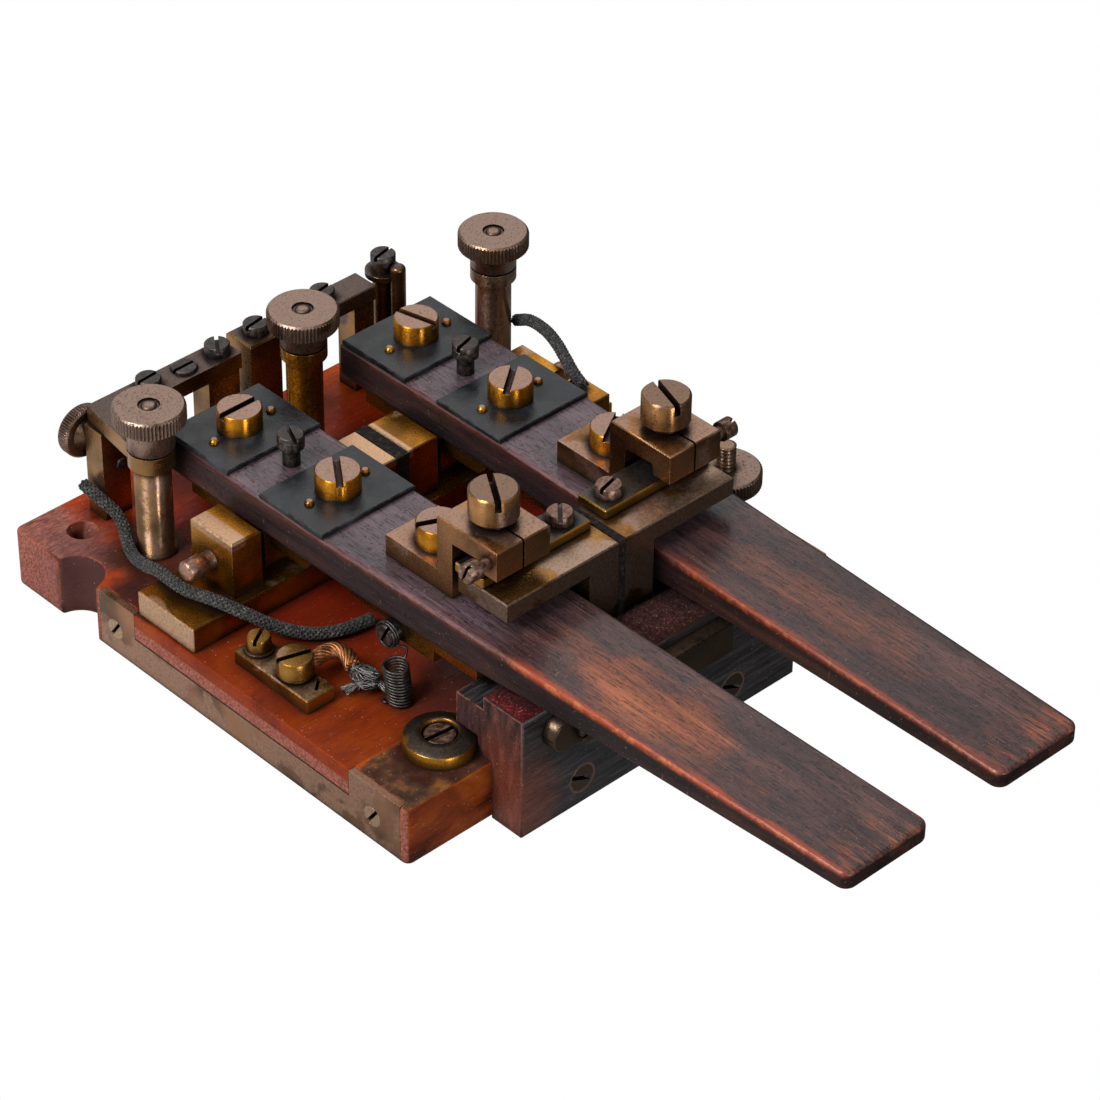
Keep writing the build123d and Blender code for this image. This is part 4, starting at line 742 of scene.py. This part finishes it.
def frayed_tail(material):
    """Bare strands knotted where they leave the lug, with loose ends that fan out over the base."""
    rng = random.Random(11)
    built = Builder()
    knot = Vector(KNOT)
    for _ in range(54):
        start = Vector((-45.6, -27.6, 20.3)) + Vector((rng.uniform(-1, 1), 0, rng.uniform(-0.8, 0.8)))
        points = [start]
        angle = rng.uniform(0, 2 * math.pi)
        lean = rng.uniform(-0.7, 0.7)
        for step in range(rng.choice((4, 5, 6, 7))):
            angle += rng.uniform(0.8, 1.5)
            reach = rng.uniform(1.6, 3.5)
            ring = Vector((reach * math.cos(angle), reach * math.sin(angle) * math.cos(lean) - 0.25 * step,
                           0.75 * reach * math.sin(angle) * math.sin(lean)))
            points.append(knot + ring)
        built.tube(smooth_path([clear_of_base(p) for p in points], 7), 0.14, 4)
    for _ in range(42):
        spread = Vector((rng.uniform(-1, 1), rng.uniform(-1, 1), 0)) * 1.3
        loose = [knot + Vector((rng.uniform(-1, 1), rng.uniform(-1, 1), rng.uniform(-1, 1))),
                 knot + Vector((-2.0, 0.4, -1.2)) + spread * 0.6,
                 knot + Vector((-3.9, 1.2, -2.3)) + spread * 1.5]
        built.tube(smooth_path([clear_of_base(p) for p in loose], 6), 0.085, 4)
    for strand in range(9):
        turn = 2 * math.pi * strand / 9
        offset = Vector((math.cos(turn), 0, math.sin(turn))) * 0.62
        lead = [knot + offset, Vector((-43.6, -33.6, 18.6)) + offset, Vector((-43.2, -36.6, 17.4)) + offset]
        built.tube(smooth_path([clear_of_base(p) for p in lead], 7), 0.24, 5)
    return built.object("frayed_tail", material)


def clear_of_base(point):
    """The point, lifted where it would sink into the base."""
    return Vector((point.x, point.y, max(point.z, BASE_TOP + 0.3)))


def felt_piece(material):
    """The felt: pressed flat under the levers, swelling between and beside them, with loose fibres."""
    low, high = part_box("felt_pad")
    low, high = low / MM, high / MM
    across, along = 150, 22
    built = Builder()
    for j in range(along + 1):
        for i in range(across + 1):
            built.verts.append(felt_surface(low, high, i / across, j / along))
    row = across + 1
    for j in range(along):
        for i in range(across):
            a = j * row + i
            built.faces.append((a, a + 1, a + 1 + row, a + row))
    border = (list(range(row)) + [j * row + across for j in range(1, along + 1)]
              + [along * row + i for i in range(across - 1, -1, -1)]
              + [j * row for j in range(along - 1, 0, -1)])
    close_below(built, border, low.z)
    add_fibres(built, low, high, random.Random(5))
    return built.object("felt_cushion", material)


def felt_surface(low, high, u, v):
    """A point on top of the felt; u and v run from 0 to 1 across it and along it."""
    x = low.x + (high.x - low.x) * u
    y = low.y + (high.y - low.y) * v
    rim = min(1.0, 6 * min(v, 1 - v)) ** 0.5
    end = min(1.0, 40 * min(u, 1 - u)) ** 0.5
    gap = max(0.0, 1 - (abs(x) / 11.0) ** 4)
    swell = 1.5 * gap * math.sin(math.pi * min(1.0, max(0.0, v))) ** 0.7
    wave = 0.12 * math.sin(1.7 * x + 0.6 * y) + 0.1 * math.sin(0.9 * x - 2.3 * y)
    pressed = high.z - low.z - 0.75
    return Vector((x, y, low.z + 0.15 + pressed * rim * end + swell + wave * rim * end))


def close_below(built, border, floor_z):
    """Side walls down from a closed border, and a flat underside."""
    first = len(built.verts)
    for index in border:
        top = built.verts[index]
        built.verts.append(Vector((top.x, top.y, floor_z)))
    count = len(border)
    for k in range(count):
        following = (k + 1) % count
        built.faces.append((border[following], border[k], first + k, first + following))
    built.faces.append(tuple(first + k for k in reversed(range(count))))


def add_fibres(built, low, high, rng):
    """Short loose fibres that stand up from the felt."""
    for _ in range(5200):
        root = felt_surface(low, high, rng.random(), rng.random())
        drift = Vector((rng.uniform(-1, 1), rng.uniform(-1, 1), rng.uniform(0.0, 0.7))) * 0.55
        middle = root + drift * 0.5 + Vector((0, 0, rng.uniform(0.05, 0.25)))
        built.tube([root - Vector((0, 0, 0.1)), middle, root + drift], 0.045, 3)


# ---- Assignment of materials ------------------------------------------------------------------

def paint(material, *names):
    """Gives CAD nodes one material."""
    for name in names:
        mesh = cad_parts[name].data
        mesh.materials.clear()
        mesh.materials.append(material)


def both(*names):
    """The names of a left and a right node for each given name."""
    return [hand + "_" + name for hand in ("left", "right") for name in names]


def weld_seams(names):
    """Welds the doubled vertices along the seams of the CAD meshes."""
    for name in names:
        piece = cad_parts[name]
        weld = piece.modifiers.new("weld", "WELD")
        weld.merge_threshold = 0.002 * MM


def dress_frame():
    """Gives the CAD nodes their finishes."""
    paint(mahogany("mahogany"), "base_board")
    paint(rosewood("left_rosewood", -39.4, 0.0342, 1.0), "left_lever")
    paint(rosewood("right_rosewood", 11.9, -0.0124, 0.45), "right_lever")
    paint(stained_block("stained_block"), "front_rest_block")
    paint(ebonite("ebonite"), *both("lever_plates"))
    paint(insulating_sheet("sheet"), "bridge_insulator", "centre_insulator")
    paint(dark_steel("dark_steel", (0.060, 0.050, 0.047), 0.55),
          "bar_screws", "corner_cup_screws", *both("small_screws"))
    dress_mechanism()
    dress_fittings()


def dress_mechanism():
    """The brass of the levers' fittings, their bearings and bridges, and the adjusters and knobs."""
    amber = (0.40, 0.160, 0.012)
    rubbed_metal = [((-67.0, -10.0, 15.0), (-65.2, 30.0, 24.0)), ((-53.0, 0.0, 36.0), (-47.2, 30.0, 39.0)),
                    ((-8.0, 0.0, 36.0), (3.2, 30.0, 39.0))]
    paint(aged_brass("bearing_brass", (0.62, 0.37, 0.215), amber, 0.85, 1.2, 0.2, side_shade=0.8,
                     rubbed=rubbed_metal), "inner_bearings", *both("pivot_bracket"))
    paint(aged_brass("saddle_brass", (0.42, 0.26, 0.16), (0.32, 0.125, 0.012), 0.9, 1.1, 0.35,
                     side_shade=0.7), *both("pivot_saddle", "contact_bar"), "cable_block")
    paint(aged_brass("bridge_brass", (0.40, 0.265, 0.19), (0.24, 0.115, 0.030), 0.50, 0.30, 0.6,
                     side_shade=0.45), *both("bridge"))
    paint(aged_brass("arm_brass", (0.38, 0.225, 0.155), (0.28, 0.130, 0.050), 0.25, 0.75, 0.55,
                     side_shade=0.8), *both("contact_arm"))
    paint(aged_brass("contact_brass", (0.088, 0.078, 0.068), (0.36, 0.175, 0.024), 0.0, 1.1, 0.45),
          "contact_strips")
    paint(aged_brass("screw_brass", (0.36, 0.225, 0.170), (0.50, 0.195, 0.012), 0.0, 1.3, 0.65, True),
          *both("clamp_screws", "plate_pins"))
    paint(aged_brass("adjuster_brass", (0.24, 0.145, 0.098), (0.34, 0.165, 0.060), 0.1, 0.6, 0.65, True),
          *both("adjusting_screw"))
    paint(aged_brass("knob_brass", (0.30, 0.200, 0.155), (0.24, 0.140, 0.080), 0.05, 0.40, 0.75),
          *both("post_knob"), "middle_post_knob", "rear_thumb_screw", "side_thumb_nut")


def dress_fittings():
    """The brass of the posts, the rear bars and what is screwed to the base, and the pivot screws."""
    paint(aged_brass("golden_post", (0.44, 0.29, 0.17), (0.52, 0.215, 0.012), 0.5, 1.3, 0.45, True),
          "middle_post")
    paint(aged_brass("tan_post", (0.32, 0.195, 0.130), (0.30, 0.165, 0.080), 0.2, 0.40, 0.55, True),
          "left_post", "right_post", "side_post")
    paint(aged_brass("rear_brass", (0.130, 0.090, 0.076), (0.24, 0.125, 0.045), 0.2, 0.75, 0.70),
          "rear_left_bar", "rear_bar_feet", "rear_centre_block", "rear_right_bar", "rear_right_pillar")
    paint(aged_brass("retainer_brass", (0.17, 0.110, 0.078), (0.085, 0.053, 0.034), 0.2, 1.1, 0.70),
          "felt_retainer_bar")
    paint(aged_brass("cup_brass", (0.075, 0.056, 0.042), (0.30, 0.130, 0.012), 0.15, 0.9, 0.5),
          "corner_cups")
    paint(aged_brass("terminal_brass", (0.44, 0.28, 0.17), (0.34, 0.165, 0.030), 0.50, 0.85, 0.55),
          "terminal_block", "terminal_screws")
    paint(aged_brass("strip_brass", (0.33, 0.175, 0.108), (0.24, 0.110, 0.052), 0.30, 0.50, 0.35),
          *both("edge_strip"))
    paint(aged_brass("plug_brass", (0.40, 0.26, 0.16), (0.22, 0.125, 0.050), 0.2, 0.2, 0.5,
                     stained_front=-70.5), "front_and_strip_screws")
    paint(aged_brass("pivot_copper", (0.36, 0.215, 0.155), (0.28, 0.13, 0.05), 0.1, 0.1, 0.6,
                     relief=0.012), "pivot_screws", "cable_lug")


# ---- Setting ----------------------------------------------------------------------------------

def add_floor():
    """A white table. In reflections it is bright to the rear left and dim to the front right."""
    size = 6.0
    mesh = bpy.data.meshes.new("floor")
    mesh.from_pydata([(-size, -size, 0), (size, -size, 0), (size, size, 0), (-size, size, 0)], [],
                     [(0, 1, 2, 3)])
    material = bpy.data.materials.new("floor")
    material.use_nodes = True
    tree = material.node_tree
    tree.nodes.clear()
    white = tree.nodes.new("ShaderNodeEmission")
    place = tree.nodes.new("ShaderNodeNewGeometry")
    across = tree.nodes.new("ShaderNodeVectorMath")
    across.operation = "DOT_PRODUCT"
    across.inputs[1].default_value = (-1.0, 1.0, 0.0)
    span = tree.nodes.new("ShaderNodeMapRange")
    span.interpolation_type = "SMOOTHSTEP"
    for name, value in (("From Min", -0.16), ("From Max", 0.16), ("To Min", 0.07), ("To Max", 0.85)):
        span.inputs[name].default_value = value
    glow = tree.nodes.new("ShaderNodeEmission")
    rays = tree.nodes.new("ShaderNodeLightPath")
    choice = tree.nodes.new("ShaderNodeMixShader")
    out = tree.nodes.new("ShaderNodeOutputMaterial")
    tree.links.new(place.outputs["Position"], across.inputs[0])
    tree.links.new(across.outputs["Value"], span.inputs["Value"])
    tree.links.new(span.outputs["Result"], glow.inputs["Strength"])
    tree.links.new(rays.outputs["Is Camera Ray"], choice.inputs[0])
    tree.links.new(glow.outputs[0], choice.inputs[1])
    tree.links.new(white.outputs[0], choice.inputs[2])
    tree.links.new(choice.outputs[0], out.inputs["Surface"])
    mesh.materials.append(material)
    floor = bpy.data.objects.new("floor", mesh)
    bpy.context.scene.collection.objects.link(floor)
    floor.location.z = -0.05 * MM


def add_area_light(name, place, size, watts):
    """A white disc lamp that faces the key. Its place and size are in metres."""
    light = bpy.data.lights.new(name, "AREA")
    light.shape = "DISK"
    light.size = size
    light.energy = watts
    lamp = bpy.data.objects.new(name, light)
    bpy.context.scene.collection.objects.link(lamp)
    lamp.location = place
    lamp.rotation_euler = (-Vector(place)).to_track_quat("-Z", "Y").to_euler()


def add_world():
    """A soft white surround, bright at the left and dim at the right."""
    world = bpy.data.worlds.new("studio")
    bpy.context.scene.world = world
    world.use_nodes = True
    tree = world.node_tree
    tree.nodes.clear()
    direction = tree.nodes.new("ShaderNodeTexCoord")
    facing = tree.nodes.new("ShaderNodeVectorMath")
    facing.operation = "DOT_PRODUCT"
    facing.inputs[1].default_value = (-0.55, -0.05, 0.83)
    span = tree.nodes.new("ShaderNodeMapRange")
    for name, value in (("From Min", -0.3), ("From Max", 1.0), ("To Min", 0.06), ("To Max", 0.85)):
        span.inputs[name].default_value = value
    sky = tree.nodes.new("ShaderNodeBackground")
    out = tree.nodes.new("ShaderNodeOutputWorld")
    tree.links.new(direction.outputs["Generated"], facing.inputs[0])
    tree.links.new(facing.outputs["Value"], span.inputs["Value"])
    tree.links.new(span.outputs["Result"], sky.inputs["Strength"])
    tree.links.new(sky.outputs[0], out.inputs["Surface"])


def add_camera():
    """The camera, above the front left corner of the key and slightly rolled."""
    azimuth, elevation, roll = (math.radians(a) for a in (-43.81, 37.36, 0.763))
    place = Vector((-519.6, -584.7, 611.2)) * MM
    lens_per_frame = 3.8304
    back = Vector((math.sin(azimuth) * math.cos(elevation), -math.cos(azimuth) * math.cos(elevation),
                   math.sin(elevation)))
    level = Vector((math.cos(azimuth), math.sin(azimuth), 0))
    upright = back.cross(level)
    right = math.cos(roll) * level + math.sin(roll) * upright
    up = math.cos(roll) * upright - math.sin(roll) * level
    data = bpy.data.cameras.new("camera")
    data.sensor_width = 36
    data.lens = 36 * lens_per_frame
    data.clip_start = 0.01
    camera = bpy.data.objects.new("camera", data)
    bpy.context.scene.collection.objects.link(camera)
    camera.matrix_world = Matrix.Translation(place) @ Matrix((right, up, back)).transposed().to_4x4()
    bpy.context.scene.camera = camera


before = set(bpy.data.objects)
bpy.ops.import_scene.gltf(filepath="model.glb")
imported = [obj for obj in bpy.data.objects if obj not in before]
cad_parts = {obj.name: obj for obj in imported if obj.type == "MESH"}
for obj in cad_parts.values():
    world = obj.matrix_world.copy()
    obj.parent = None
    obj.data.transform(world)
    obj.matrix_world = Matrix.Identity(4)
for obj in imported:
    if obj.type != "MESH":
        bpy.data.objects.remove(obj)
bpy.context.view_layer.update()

dress_frame()
weld_seams(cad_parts)

braid = cotton_braid("braid")
spring_wire = wire("spring_wire", (0.085, 0.078, 0.073), 0.30)
bare_wire = wire("bare_wire", (0.23, 0.225, 0.215), 0.28)
lug_copper = copper("lug_copper")

hand_over(braided_cable("left_braid", LEFT_CABLE, braid), "base", "braid", "left_cable")
hand_over(braided_cable("right_braid", RIGHT_CABLE, braid), "base", "braid", "right_cable")
hand_over(felt_piece(felt("felt")), "base", "felt", "felt_pad")
hand_over(copper_lug(lug_copper), "base", "copper", "cable_lug")
hand_over(frayed_tail(bare_wire), "base", "wire")
for side_name, hand in (("left", -1), ("right", 1)):
    lead = coiled_lead(side_name + "_coil", hand, spring_wire)
    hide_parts(side_name + "_flex_lead")
    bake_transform(lead)

add_floor()
add_world()
add_area_light("key", (-0.9, 0.1, 1.0), size=0.6, watts=14)
add_area_light("sheen", (0.75, 0.85, 0.95), size=0.8, watts=2)
add_area_light("front", (-0.36, -1.35, 0.30), size=0.35, watts=6)
add_camera()
bpy.context.scene.view_settings.view_transform = "Standard"
